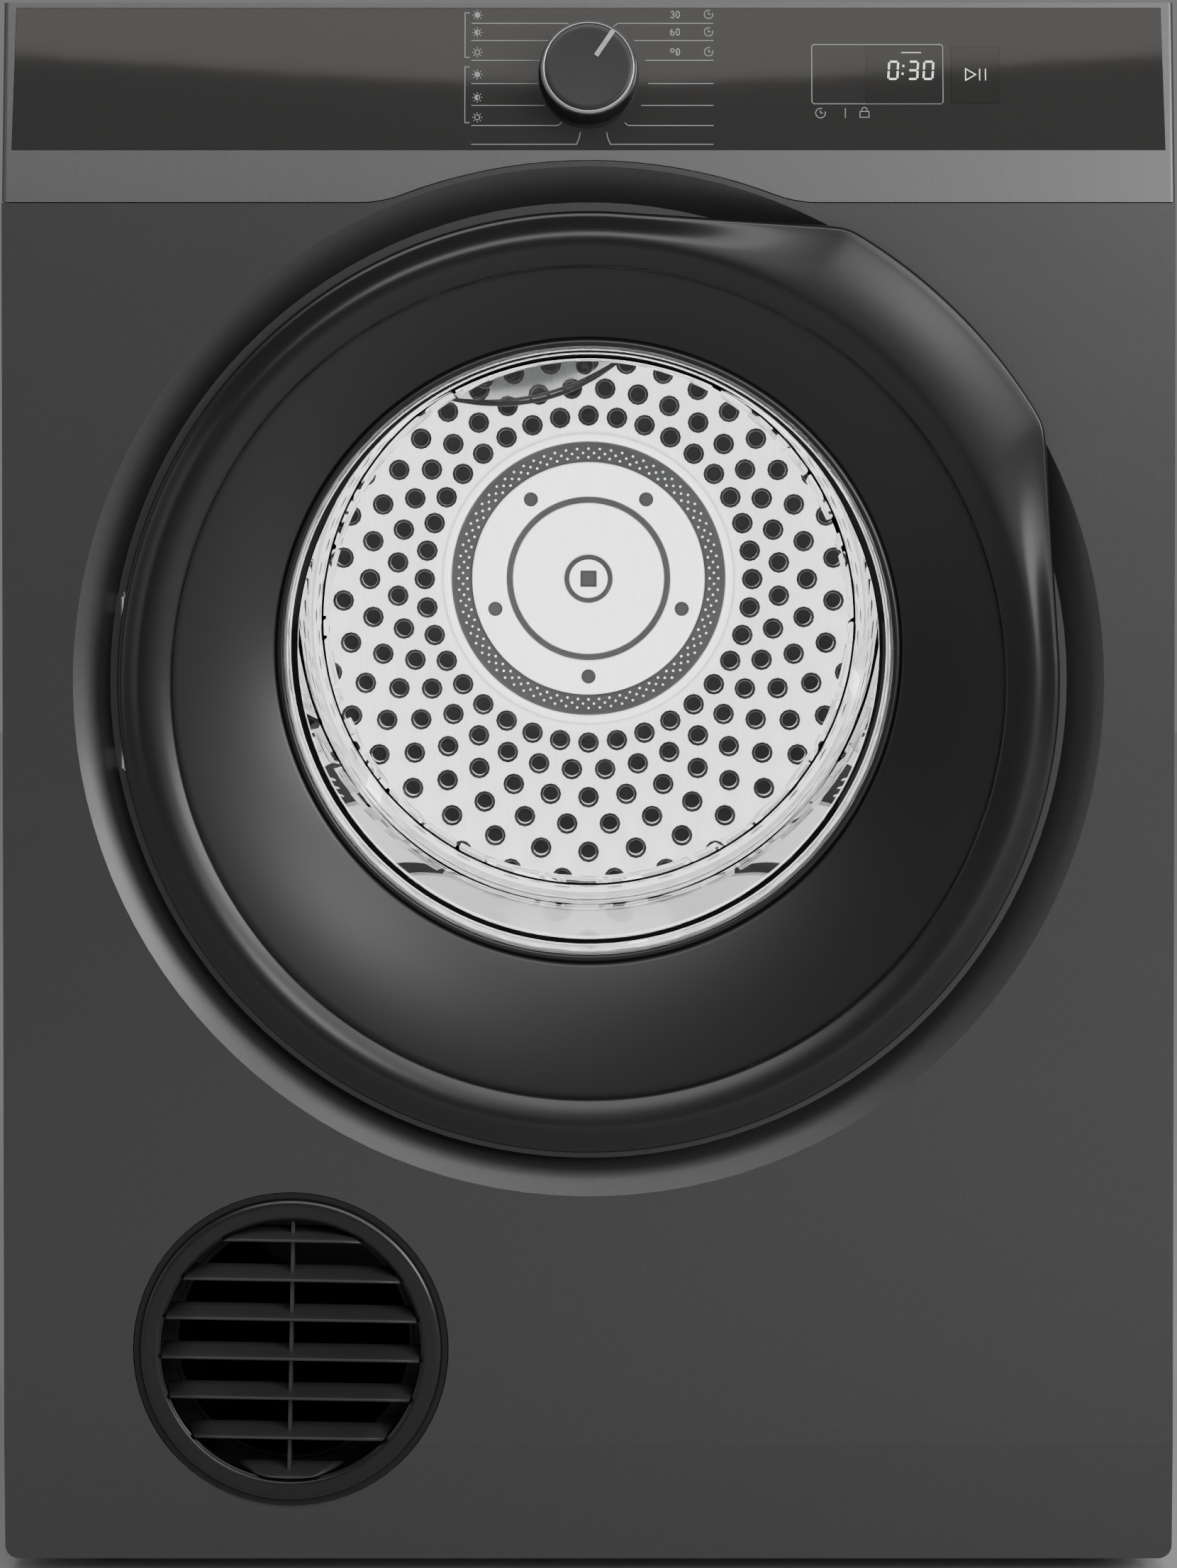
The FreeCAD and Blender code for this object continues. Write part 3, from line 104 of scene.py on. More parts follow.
class Finish:
    """One material and its nodes."""

    def __init__(self, name, **constants):
        self.material = bpy.data.materials.new(name)
        self.material.use_nodes = True
        self.nodes = self.material.node_tree.nodes
        self.links = self.material.node_tree.links
        self.shader = self.nodes["Principled BSDF"]
        for socket, amount in constants.items():
            socket = socket.replace("_", " ")
            if isinstance(amount, tuple) and len(amount) == 3:
                amount = amount + (1.0,)
            self.shader.inputs[socket].default_value = amount

    def node(self, kind, settings=None, inputs=None):
        """Adds a node, sets its settings first, then gives its sockets numbers or links."""
        made = self.nodes.new(kind)
        for key, setting in (settings or {}).items():
            setattr(made, key, setting)
        for key, thing in (inputs or {}).items():
            socket = made.inputs[key]
            if isinstance(thing, Value):
                self.links.new(thing.socket, socket)
            elif isinstance(thing, tuple) and len(thing) == 3 and socket.type == "RGBA":
                socket.default_value = thing + (1.0,)
            else:
                socket.default_value = thing
        return [Value(self, out) for out in made.outputs]

    def feed(self, socket, thing):
        """Links a number or colour to a socket of the shader."""
        self.links.new(thing.socket, self.shader.inputs[socket])

    def place(self):
        """Object coordinates, which are metres from the floor under the middle."""
        return self.node("ShaderNodeTexCoord")[3]

    def moved(self, offset, turn=(0, 0, 0), scale=(1, 1, 1)):
        """Object coordinates, shifted, turned and stretched."""
        return self.node("ShaderNodeMapping", None,
                         {0: self.place(), 1: offset, 2: turn, 3: scale})[0]

    def noise(self, scale, detail=2.0, rough=0.5, vector=None):
        """Cloudy noise, at a scale in cells to the metre."""
        return self.node("ShaderNodeTexNoise", None, {
            "Vector": vector or self.place(), "Scale": scale, "Detail": detail,
            "Roughness": rough})[0]

    def grains(self, scale, vector=None):
        """Distance to the nearest of many scattered points."""
        return self.node("ShaderNodeTexVoronoi", None,
                         {"Vector": vector or self.place(), "Scale": scale})[0]

    def mix(self, share, first, second):
        """A colour between two colours."""
        return self.node("ShaderNodeMix", {"data_type": "RGBA"}, {0: share, 6: first, 7: second})[2]

    def bump(self, height, distance, strength=1.0):
        """Tilts the surface by a height, and hands the finish back."""
        self.feed("Normal", self.node("ShaderNodeBump", None, {
            "Strength": strength, "Distance": distance, "Height": height})[0])
        return self


def shade(level, warmth=0.0):
    """A near-neutral linear colour from a 0-255 display level."""
    linear = (level / 255) ** 2.2
    return (linear * (1 + warmth), linear, linear * (1 - warmth))


def moulded(name, colour, rough, grain=2600, depth=0.00002, spread=0.12, **more):
    """Moulded plastic: fine spark texture, faint cloudy gloss and slight colour drift."""
    finish = Finish(name, Base_Color=colour, Roughness=rough, **more)
    cloud = finish.noise(7.0, 4.0, 0.6)
    spark = finish.noise(grain, 2.0, 0.6)
    finish.feed("Roughness", cloud * spread + (rough - spread / 2) + (spark - 0.5) * 0.08)
    dark = tuple(c * 0.86 for c in colour)
    light = tuple(c * 1.14 for c in colour)
    finish.feed("Base Color", finish.mix(cloud.over(0.3, 0.7), dark, light))
    return finish.bump(spark, depth, 0.6)


def painted(name, colour, rough):
    """Metallic grey baked paint: flakes, a light orange peel, faint wiping marks."""
    finish = Finish(name, Base_Color=colour, Roughness=rough, Metallic=0.75,
                    Coat_Weight=0.25, Coat_Roughness=0.18)
    flake = finish.grains(5200)
    peel = finish.noise(420, 3.0, 0.55)
    cloud = finish.noise(2.2, 3.0, 0.6)
    wipes = finish.noise(9, 5.0, 0.7, finish.moved((0, 0, 0), (0, 0.3, 0), (1, 1, 4)))
    dark, light = tuple(c * 0.80 for c in colour), tuple(c * 1.22 for c in colour)
    finish.feed("Base Color", finish.mix(flake.over(0.1, 0.65), light, dark))
    finish.feed("Roughness", cloud * 0.06 + wipes * 0.05 + (rough - 0.05))
    return finish.bump(peel + flake * 0.35, 0.00005, 0.5)


def brushed(name, colour, rough, lines=(1, 60, 1), turn=(0, 0, 0), metal=1.0):
    """Brushed or rolled metal: fine lines drawn out along one direction."""
    finish = Finish(name, Base_Color=colour, Roughness=rough, Metallic=metal)
    hair = finish.noise(60, 4.0, 0.65, finish.moved((0, 0, 0), turn, lines))
    cloud = finish.noise(5, 3.0, 0.5)
    finish.feed("Roughness", hair * 0.18 + cloud * 0.08 + (rough - 0.13))
    dark = tuple(c * 0.82 for c in colour)
    finish.feed("Base Color", finish.mix(hair.over(0.25, 0.75), dark, colour))
    return finish.bump(hair, 0.00003, 0.4)


def glossy(name, colour, rough=0.06, coat=0.6):
    """Polished moulding: nearly smooth, with a faint ripple and a little dust."""
    finish = Finish(name, Base_Color=colour, Roughness=rough, Coat_Weight=coat,
                    Coat_Roughness=max(0.03, rough * 0.8))
    ripple = finish.noise(34, 2.0, 0.4)
    dust = finish.noise(900, 3.0, 0.7)
    finish.feed("Roughness", dust.over(0.62, 0.8) * 0.12 + rough)
    finish.feed("Base Color", finish.mix(dust.over(0.66, 0.84) * 0.4, colour,
                                         tuple(c + 0.03 for c in colour)))
    return finish.bump(ripple, 0.00006, 0.25)


def felt(name, colour):
    """Pressed wool felt: fine fibres over larger tufts, without gloss."""
    finish = Finish(name, Base_Color=colour, Roughness=0.95, Sheen_Weight=0.5)
    fibre = finish.noise(1400, 5.0, 0.8)
    tuft = finish.noise(260, 3.0, 0.6)
    finish.feed("Base Color", finish.mix(fibre, tuple(c * 0.6 for c in colour), colour))
    return finish.bump(fibre + tuft, 0.0004, 0.7)


def zinc(name, colour):
    """Zinc coated sheet: large faint spangles over a satin surface."""
    finish = Finish(name, Base_Color=colour, Roughness=0.42, Metallic=0.9)
    spangle = finish.node("ShaderNodeTexVoronoi", {"feature": "F1"},
                          {"Vector": finish.place(), "Scale": 90})[1]
    patch = finish.node("ShaderNodeSeparateColor", None, {0: spangle})[0]
    fine = finish.noise(700, 3.0, 0.6)
    finish.feed("Base Color", finish.mix(patch, tuple(c * 0.8 for c in colour), colour))
    finish.feed("Roughness", patch * 0.15 + fine * 0.1 + 0.3)
    return finish.bump(fine, 0.00003, 0.4)


def glass(name, tint):
    """Clear pressed glass: faint smears, and a slow ripple left by the mould."""
    finish = Finish(name, Base_Color=tint, Roughness=0.0, Transmission_Weight=1.0, IOR=1.47)
    smear = finish.noise(12, 3.0, 0.6)
    finish.feed("Roughness", smear.over(0.55, 0.85) * 0.012)
    ripple = finish.noise(18, 2.0, 0.5)
    return finish.bump(ripple, 0.00002, 0.1)


PANEL = painted("metallic_grey_paint", shade(92, 0.008), 0.38)
FASCIA = painted("fascia_grey", shade(108, 0.004), 0.36)
RING = moulded("satin_charcoal", shade(22), 0.32, Coat_Weight=0.3, Coat_Roughness=0.2)
FUNNEL = glossy("gloss_black_cone", shade(18), 0.36, 0.4)
BLACK = moulded("textured_black", shade(20), 0.55)
PALE = moulded("moulded_pale_plastic", shade(205, 0.01), 0.42)
KNOB_SKIRT = moulded("satin_black_skirt", shade(24), 0.38)
RUBBER = moulded("black_rubber", shade(26), 0.72, 1200, 0.00005)
FELT = felt("pressed_felt", shade(120, 0.03))
ZINC = zinc("zinc_sheet", shade(180))
STEEL = brushed("bright_steel", shade(200), 0.25)
MOTOR = painted("motor_enamel", shade(96), 0.5)
BOARD = moulded("green_board", (0.01, 0.09, 0.03), 0.4)
DRUM_WALL = brushed("drum_wall_steel", shade(190), 0.26, (60, 1, 60), metal=0.95)
DRUM = brushed("drum_back_steel", shade(232, 0.003), 0.42, (26, 1, 1), metal=0.25)
# Painted shade: near-black on the rear bulkhead, its bearing and its felt, so that the drum's holes look
# dark behind.
DARK_BEHIND_DRUM = moulded("heat_proof_black", shade(34), 0.6)
BELT = moulded("belt_rubber", shade(30), 0.7, 900, 0.00005)
OVERLAY = glossy("gloss_fascia_cover", shade(50, 0.04), 0.04, 0.8)
GLASS = glass("clear_bowl_glass", (0.96, 0.98, 0.98))
SMOKED = glossy("smoked_window", shade(44, 0.05), 0.05, 0.9)

CAD_FINISH = {
    "front_panel": PANEL, "left_side_panel": PANEL, "right_side_panel": PANEL,
    "top_panel": PANEL, "fascia_housing": FASCIA, "fascia_overlay": OVERLAY,
    "display_window": SMOKED, "start_window": SMOKED, "control_board": BOARD,
    "selector_switch": BLACK, "rear_panel": ZINC, "inlet_gland": BLACK, "base_tray": ZINC,
    # The rear bulkhead, bearing and felt are near-black as painted shade behind the drum's holes.
    "front_bulkhead": ZINC, "front_felt": FELT, "rear_bulkhead": DARK_BEHIND_DRUM, "rear_bearing": DARK_BEHIND_DRUM,
    "rear_felt": DARK_BEHIND_DRUM, "hinge_plate": STEEL, "latch_housing": BLACK, "vent_collar": BLACK,
    # The exhaust duct's black stands for the shade behind the vent's slats: painted shade.
    "exhaust_duct": BLACK, "blower_housing": PALE, "blower_cover": ZINC, "heater_housing": ZINC,
    "heater_element": STEEL, "motor": MOTOR, "motor_bracket": ZINC, "drum_belt": BELT,
    "fan_belt": BELT, "rear_screws": STEEL, "door_ring": RING, "door_funnel": FUNNEL,
    "door_bowl": GLASS, "door_back_frame": PALE, "door_gasket": RUBBER, "hinge_leaf": STEEL,
    "hinge_pin": STEEL, "latch_hook": STEEL, "drum_shell": DRUM_WALL,
    "drum_front_cone": DRUM_WALL, "drum_back_plate": DRUM, "drum_lifters": PALE,
    "lint_filter": DRUM, "filter_mesh": STEEL, "motor_shaft": STEEL, "motor_pulleys": STEEL,
    "fan_wheel": BLACK, "fan_shaft": STEEL, "idler_arm": ZINC, "idler_pulley": PALE,
    "selector_knob": KNOB_SKIRT, "knob_pointer": STEEL, "vent_ring": RING,
    "vent_louvre": RING, "latch_bolt": PALE, "foot_front_left": BLACK,
    "foot_front_right": BLACK, "foot_rear_left": BLACK, "foot_rear_right": BLACK,
}
for node, finish in CAD_FINISH.items():
    slots = frame["nodes"][node].data.materials
    slots.clear()
    slots.append(finish.material)


# ---------------------------------------------------------------- surfaces

def solid_grid(name, points, body, finish, closed_u=True, closed_v=True, smooth=True):
    """A mesh from a grid of points, shape (rows, columns, 3); a closed direction joins up."""
    points = np.asarray(points, dtype=float)
    rows, columns = points.shape[:2]
    row = np.arange(rows if closed_u else rows - 1)
    column = np.arange(columns if closed_v else columns - 1)
    first, second = np.meshgrid(row, column, indexing="ij")
    next_row, next_column = (first + 1) % rows, (second + 1) % columns
    faces = np.stack([first * columns + second, next_row * columns + second,
                      next_row * columns + next_column, first * columns + next_column], axis=-1)
    return piece(name, points.reshape(-1, 3), faces.reshape(-1, 4), body, finish, smooth)


def piece(name, points, faces, body, finish, smooth=True):
    """Puts points and faces, in metres and at their place, into an object that rides a body."""
    mesh = bpy.data.meshes.new(name)
    mesh.from_pydata(np.asarray(points).tolist(), [], np.asarray(faces).tolist())
    mesh.polygons.foreach_set("use_smooth", np.full(len(mesh.polygons), smooth))
    mesh.materials.append(finish.material)
    mesh.update()
    made = bpy.data.objects.new(name, mesh)
    bpy.context.scene.collection.objects.link(made)
    if body:
        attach(made, body)
    return made


def outward(made):
    """Turns a closed shell's faces outwards if its signed volume is negative."""
    mesh = made.data
    spots = np.empty(len(mesh.vertices) * 3)
    mesh.vertices.foreach_get("co", spots)
    spots = spots.reshape(-1, 3)
    mesh.calc_loop_triangles()
    corners = np.empty(len(mesh.loop_triangles) * 3, dtype=int)
    mesh.loop_triangles.foreach_get("vertices", corners)
    a, b, c = (spots[corners.reshape(-1, 3)[:, i]] for i in range(3))
    if np.einsum("ij,ij->i", a, np.cross(b, c)).sum() < 0:
        mesh.flip_normals()
    return made


def rounded(corners, radius=0.0006, steps=4):
    """A closed outline of points with each corner replaced by a short quadratic bend."""
    corners = np.asarray(corners, dtype=float)
    before, after = np.roll(corners, 1, axis=0), np.roll(corners, -1, axis=0)
    into, out = before - corners, after - corners
    reach_in = np.linalg.norm(into, axis=1, keepdims=True)
    reach_out = np.linalg.norm(out, axis=1, keepdims=True)
    start = corners + into / reach_in * np.minimum(radius, reach_in * 0.45)
    end = corners + out / reach_out * np.minimum(radius, reach_out * 0.45)
    t = np.linspace(0, 1, steps + 1)[None, :, None]
    bend = (1 - t) ** 2 * start[:, None] + 2 * t * (1 - t) * corners[:, None] + t ** 2 * end[:, None]
    return bend.reshape(-1, 2)


def turned(name, outline, centre, body, finish, steps=256, axis=(0, 1, 0), smooth=True):
    """A closed outline of (radius, distance along the axis) carried round the axis:
    point = centre + axis * distance + radius * (cos a * side + sin a * up)."""
    axis = np.array(axis, dtype=float)
    side = np.array((1.0, 0.0, 0.0))
    up = np.cross(side, axis)
    angle = np.linspace(0, 2 * np.pi, steps, endpoint=False)[:, None, None]
    outline = np.asarray(outline)
    radius, along = outline[None, :, 0:1], outline[None, :, 1:2]
    points = np.array(centre) + axis * along + radius * (np.cos(angle) * side + np.sin(angle) * up)
    return outward(solid_grid(name, points, body, finish, smooth=smooth))


# ---------------------------------------------------------------- door

RING_R, RING_IN, EAR_R = 241 * MM, 212.4 * MM, 267.5 * MM
EAR_FOOT, EAR_TOP = (4, 86), (29.5, 60.5)


def ring_reach(angle):
    """How far out the door's rim is at an angle: the ring's circle, and over the grip an arc
    further out joined to the circle by two straight lines, all blended by a soft minimum."""
    def spot(radius, degrees):
        """A place on the front from its radius and its angle."""
        return radius * np.array((math.cos(math.radians(degrees)), math.sin(math.radians(degrees))))

    def line(start, end):
        """How far out the straight line through two places is at each angle."""
        normal = np.array((end[1] - start[1], start[0] - end[0]))
        normal /= np.linalg.norm(normal)
        away = start @ normal
        facing = normal[0] * np.cos(angle) + normal[1] * np.sin(angle)
        return np.where(facing > 0.2, away / np.maximum(facing, 0.2), 1.0)
    low = line(spot(RING_R, EAR_FOOT[0]), spot(EAR_R, EAR_TOP[0]))
    high = line(spot(EAR_R, EAR_TOP[1]), spot(RING_R, EAR_FOOT[1]))
    soft = 1.3 * MM
    stack = np.stack([np.full_like(angle, EAR_R), low, high])
    reach = -soft * np.log(np.exp(-(stack - EAR_R) / soft).sum(axis=0)) + EAR_R
    inside = (angle > math.radians(EAR_FOOT[0] - 2)) & (angle < math.radians(EAR_FOOT[1] + 2))
    return np.where(inside, np.maximum(reach, RING_R), RING_R)


def door_ring():
    """Each cross-section: an inner lip, a crowned front that rises as a cosine to its crest
    and falls to the rim, a rounded edge, the underside of the grip, the wall and back."""
    angle = np.linspace(0, 2 * np.pi, 1080, endpoint=False)
    reach = ring_reach(angle)[:, None]
    over = (reach - RING_R) / (EAR_R - RING_R)
    crest_r, crest_d = 226.5 * MM, -12.9 * MM
    lip = np.linspace(0, 1, 9)[None, :]
    front_in = (RING_IN + (crest_r - RING_IN) * lip + 0 * reach,
                -8.3 * MM + (crest_d + 8.3 * MM) * np.sin(lip * np.pi / 2) + 0 * reach)
    fall = np.linspace(0, 1, 16)[None, 1:]
    edge_r = reach - 2.2 * MM
    edge_d = -6.2 * MM - 3.7 * MM * over
    front_out = (crest_r + (edge_r - crest_r) * fall,
                 edge_d + (crest_d - edge_d) * np.cos(fall * np.pi / 2) ** 1.2)
    turn = np.linspace(0, 1, 7)[None, 1:]
    nose = (edge_r + 2.2 * MM * np.sin(turn * np.pi / 2),
            edge_d + 2.6 * MM * (1 - np.cos(turn * np.pi / 2)))
    under_d = edge_d + 4.4 * MM
    back = [(reach - 0.9 * MM * over, under_d),
            (RING_R + (reach - RING_R) * 0.5, under_d + 0.6 * MM),
            (RING_R + 0 * reach, under_d + 1.2 * MM)]
    wall = [(0, 0), (0, 8.6), (-0.4, 9), (-3, 9), (-3, -3), (-8, -8.4), (-15, -9.6)]
    lip_back = [(4, -6.8), (3, -5.2), (0, -5.2)]
    back += [(RING_R + r * MM + 0 * reach, d * MM + 0 * reach) for r, d in wall]
    back += [(RING_IN + r * MM + 0 * reach, d * MM + 0 * reach) for r, d in lip_back]
    radius = np.concatenate([front_in[0], front_out[0], nose[0]] + [b[0] for b in back], axis=1)
    depth = np.concatenate([front_in[1], front_out[1], nose[1]] + [b[1] for b in back], axis=1)
    turn = angle[:, None]
    points = np.stack([radius * np.cos(turn), FRONT + depth, DOOR_Z + radius * np.sin(turn)], axis=-1)
    made = outward(solid_grid("door_ring_shell", points, "door", RING))
    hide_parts("door_ring")


door_ring()


def eccentric(name, rings, body, finish, steps=360):
    """A closed loop of rings, each (radius, depth behind the front, height of its centre),
    joined in order; the cross-section is the same at every angle."""
    rings = np.asarray(rings)
    angle = np.linspace(0, 2 * np.pi, steps, endpoint=False)[:, None]
    radius, depth, centre = (rings[None, :, i] for i in range(3))
    points = np.stack([radius * np.cos(angle), FRONT + depth + 0 * angle,
                       centre + radius * np.sin(angle)], axis=-1)
    return outward(solid_grid(name, points, body, finish))


def door_cone():
    """From a flat brim under the ring's lip the cone runs in with a slight hollow curve and
    its centre climbs to the porthole's; it ends in a rounded bead, then comes back behind."""
    wide, narrow, lip, bottom = 212.0, 160.5, -4.6, 13.2
    share = np.linspace(0, 1, 25)
    radius = wide + (narrow - wide) * share
    depth = lip + (bottom - lip) * (share * 0.62 + 0.38 * share ** 2)
    centre = DOOR_Z + (PORT_Z - DOOR_Z) * share
    rings = [(231 * MM, lip * MM, DOOR_Z), (214 * MM, lip * MM, DOOR_Z)]
    rings += list(zip(radius * MM, depth * MM, centre))
    rings += [((158.6 + 1.9 * math.cos(a)) * MM, (13.4 - 1.7 * math.sin(a)) * MM, PORT_Z)
              for a in np.linspace(0, math.pi, 9)]
    rings += [(156.6 * MM, 17.9 * MM, PORT_Z), (164.5 * MM, 17.9 * MM, PORT_Z),
              (165.5 * MM, 14 * MM, PORT_Z)]
    rings += list(zip((radius + 6) * MM, (depth + 0.6) * MM, centre))[::-1][2:-1]
    rings += [(219 * MM, (lip + 1.5) * MM, DOOR_Z), (231 * MM, (lip + 1.5) * MM, DOOR_Z)]
    made = eccentric("door_gloss_cone", rings, "door", FUNNEL)
    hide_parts("door_funnel")


door_cone()


def glass_bowl():
    """Moulded glass with a brim, a straight wall that slants up as it goes in, a rounded heel
    and a flat bottom; inner and outer faces are both there so light bends as in real glass.
    Rings close to the axis and to the heel keep the flat bottom flat to the eye."""
    mouth_r, heel_r, start, end = 155 * MM, 156 * MM, 18.3 * MM, 130 * MM
    thick, heel = 4.6 * MM, 9.5 * MM
    inner_heel, outer_end, flat_r = heel - 3 * MM, end + thick, heel_r - heel
    share = np.linspace(0, 1, 13)[:-1]
    wall = list(zip(mouth_r + (heel_r - mouth_r) * share,
                    start + (outer_end - heel - start) * share,
                    PORT_Z + (BOWL_Z - PORT_Z) * share, share))
    bend = np.linspace(0, math.pi / 2, 9)
    brim = [(169, 0), (169.6, 0.6), (169.6, 3.2), (169, 3.8), (156.5, 3.9)]
    middle = [0.5 * heel_r, 3 * MM, 0.4 * MM, 0.02 * MM]
    outer = [(r * MM, start + d * MM, PORT_Z) for r, d in brim]
    outer += [(r, d, z) for r, d, z, s in wall if d > start + 6 * MM]
    outer += [(flat_r + heel * math.cos(a), outer_end - heel + heel * math.sin(a), BOWL_Z)
              for a in bend]
    outer += [(r, outer_end, BOWL_Z) for r in [flat_r - 0.6 * MM, flat_r - 5 * MM] + middle]
    inner = [(r, end, BOWL_Z) for r in middle[::-1] + [flat_r - 8 * MM, flat_r - 2.6 * MM]]
    inner += [(heel_r - 1.5 * thick - inner_heel + inner_heel * math.cos(a),
               end - inner_heel + inner_heel * math.sin(a), BOWL_Z) for a in bend[::-1]]
    inner += [(r - thick * (1 + 0.5 * s), d, z) for r, d, z, s in wall[::-1]
              if d < end - inner_heel - 2 * MM]
    made = eccentric("door_glass_bowl", outer + inner, "door", GLASS, 256)
    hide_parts("door_bowl")


glass_bowl()


# ---------------------------------------------------------------- fascia print, lights and knob

UP = np.array((0.0, math.sin(LEAN), math.cos(LEAN)))
OUT = np.array((0.0, -math.cos(LEAN), math.sin(LEAN)))
FOOT = np.array((0.0, FRONT, KNOB[2] - 66.5 * MM * math.cos(LEAN)))


def on_fascia(u, v, w):
    """Millimetres across, up the slope and out from it, turned into a place in the frame."""
    u, v, w = (np.asarray(a, dtype=float)[..., None] * MM for a in (u, v, w))
    return FOOT + u * np.array((1.0, 0.0, 0.0)) + v * UP + w * OUT


def ring_line(u, v, radius, start=0, end=360, steps=24, tall=1.0):
    """An arc of (u, v) points between two angles in degrees, stretched upright by tall."""
    turn = np.radians(np.linspace(start, end, steps))
    return np.stack([u + radius * np.cos(turn), v + radius * tall * np.sin(turn)], axis=-1)


def ribbon(line, width):
    """A flat strip of a width along a line of (u, v) points, mitred at each corner."""
    line = np.asarray(line, dtype=float)
    run = np.diff(line, axis=0)
    run /= np.linalg.norm(run, axis=1, keepdims=True)
    first, last = np.vstack([run[:1], run]), np.vstack([run, run[-1:]])
    if np.allclose(line[0], line[-1]):
        first[0], last[-1] = run[-1], run[0]
    across = np.stack([-(first + last)[:, 1], (first + last)[:, 0]], axis=-1)
    across /= np.maximum(np.einsum("ij,ij->i", across, across), 1.0)[:, None] / 2
    return np.stack([line + across * width / 2, line - across * width / 2], axis=1)


def printed(name, lines, width, finish, lift, body="cabinet"):
    """Many strips in one mesh, lifted clear of the face they are printed on."""
    points, faces, count = [], [], 0
    for line in lines:
        strip = ribbon(line, width)
        rows = len(strip)
        points.append(on_fascia(strip[..., 0], strip[..., 1], lift).reshape(-1, 3))
        row = np.arange(rows - 1)[:, None] * 2 + count
        faces.append(np.concatenate([row, row + 1, row + 3, row + 2], axis=1))
        count += rows * 2
    made = piece(name, np.concatenate(points), np.concatenate(faces), body, finish, False)
    turn_to(made, OUT)
    return made


def turn_to(made, way):
    """Turns each flat face so that its normal points the given way."""
    mesh = made.data
    normals = np.empty(len(mesh.polygons) * 3)
    mesh.polygons.foreach_get("normal", normals)
    if (normals.reshape(-1, 3) @ way).mean() < 0:
        mesh.flip_normals()


def numeral(sign, u, v, tall):
    """Thin upright figures drawn with arcs, standing on v and centred on u."""
    r = tall * 0.27
    top, low, mid = v + tall - r, v + r, v + tall / 2
    if sign == "0":
        return [ring_line(u, mid, r * 0.95, tall=tall / 2 / (r * 0.95))]
    if sign == "3":
        return [np.vstack([ring_line(u, top, r * 0.9, 150, -80), ring_line(u, low, r, 80, -150)])]
    bowl, side = (low, 1) if sign == "6" else (top, -1)
    tail = ring_line(u + side * r * 0.9, mid, r * 1.9, 115, 180, 8, 0.95)
    if sign == "9":
        tail = (2 * u, 2 * mid) - tail
    return [ring_line(u, bowl, r), tail]


def seven_bars(lit, u, v, wide, tall, slant=0.06):
    """The lit bars of a seven-bar figure; each bar is its own short line."""
    gap = 0.45
    half_up = tall / 2
    bars = {"a": ((gap, tall), (wide - gap, tall)), "g": ((gap, half_up), (wide - gap, half_up)),
            "d": ((gap, 0), (wide - gap, 0)), "f": ((0, half_up + gap), (0, tall - gap)),
            "b": ((wide, half_up + gap), (wide, tall - gap)), "e": ((0, gap), (0, half_up - gap)),
            "c": ((wide, gap), (wide, half_up - gap))}
    return [np.array([(u + x + slant * y, v + y) for x, y in bars[bar]]) for bar in lit]


# Millimetres up the slope of each programme's row and of the rule under it, and across it to
# where each rule's straight part ends beside the knob. RISE is how far three of them turn
# up or down there.
ROWS = (97.7, 88.6, 78.2, 66.6, 54.7, 44.4, 34.6)
RULES = (93.3, 84.3, 74.0, 62.0, 50.6, 40.1, 30.4)
LEFT_ENDS = (-10.9, -18.9, -24.8, -26.1, -22.5, -15.8, -6.1)
RIGHT_ENDS = (15.0, 23.4, 29.2, 30.6, 27.0, 20.5, 11.2)
RISE = {0: -2.0, 5: 1.7, 6: 6.2}


def sun(u, v, fill):
    """A small sun: a ring, eight rays, and a filled, half filled or empty middle."""
    lines = [ring_line(u, v, 1.25)]
    for turn in np.radians(np.arange(0, 360, 45)):
        way = np.array((math.cos(turn), math.sin(turn)))
        lines.append(np.array((u, v)) + np.outer((1.9, 2.6), way))
    if fill:
        last, count = (0.0, 5) if fill == 1 else (0.9, 9)
        for x in np.linspace(-0.9, last, count):
            reach = 1.1 * math.sqrt(max(0.0, 1 - x * x))
            lines.append(np.array([(u + x * 1.1, v - reach), (u + x * 1.1, v + reach)]))
    return lines


def clock(u, v, radius):
    """A clock ring left open at the upper right, with two hands."""
    return [ring_line(u, v, radius, 70, 380), np.array([(u, v + radius * 0.55), (u, v),
                                                        (u + radius * 0.5, v)])]


def programme_ring():
    """Rules that lead from each programme's place towards the knob, with their icons."""
    lines = []
    for index, (row, rule) in enumerate(zip(ROWS, RULES)):
        reach = 2.56 if index == 0 else 1.9
        for far, near, way in ((-60.0, LEFT_ENDS[index], 1), (64.0, RIGHT_ENDS[index], -1)):
            line = [(far, rule), (near, rule)]
            if index in RISE:
                line += [(near + way * 1.3, rule + RISE[index] * 0.5),
                         (near + way * reach, rule + RISE[index])]
            lines.append(np.array(line))
        if index < 6:
            lines += sun(-57.0, row, (2, 1, 0)[index % 3])
        if index < 3:
            lines += clock(61.6, row + 0.3, 2.2)
    for low, high in ((75.6, 98.8), (41.6, 70.6)):
        lines.append(np.array([(-60.9, low), (-63.3, low), (-63.3, high), (-60.9, high)]))
    return lines


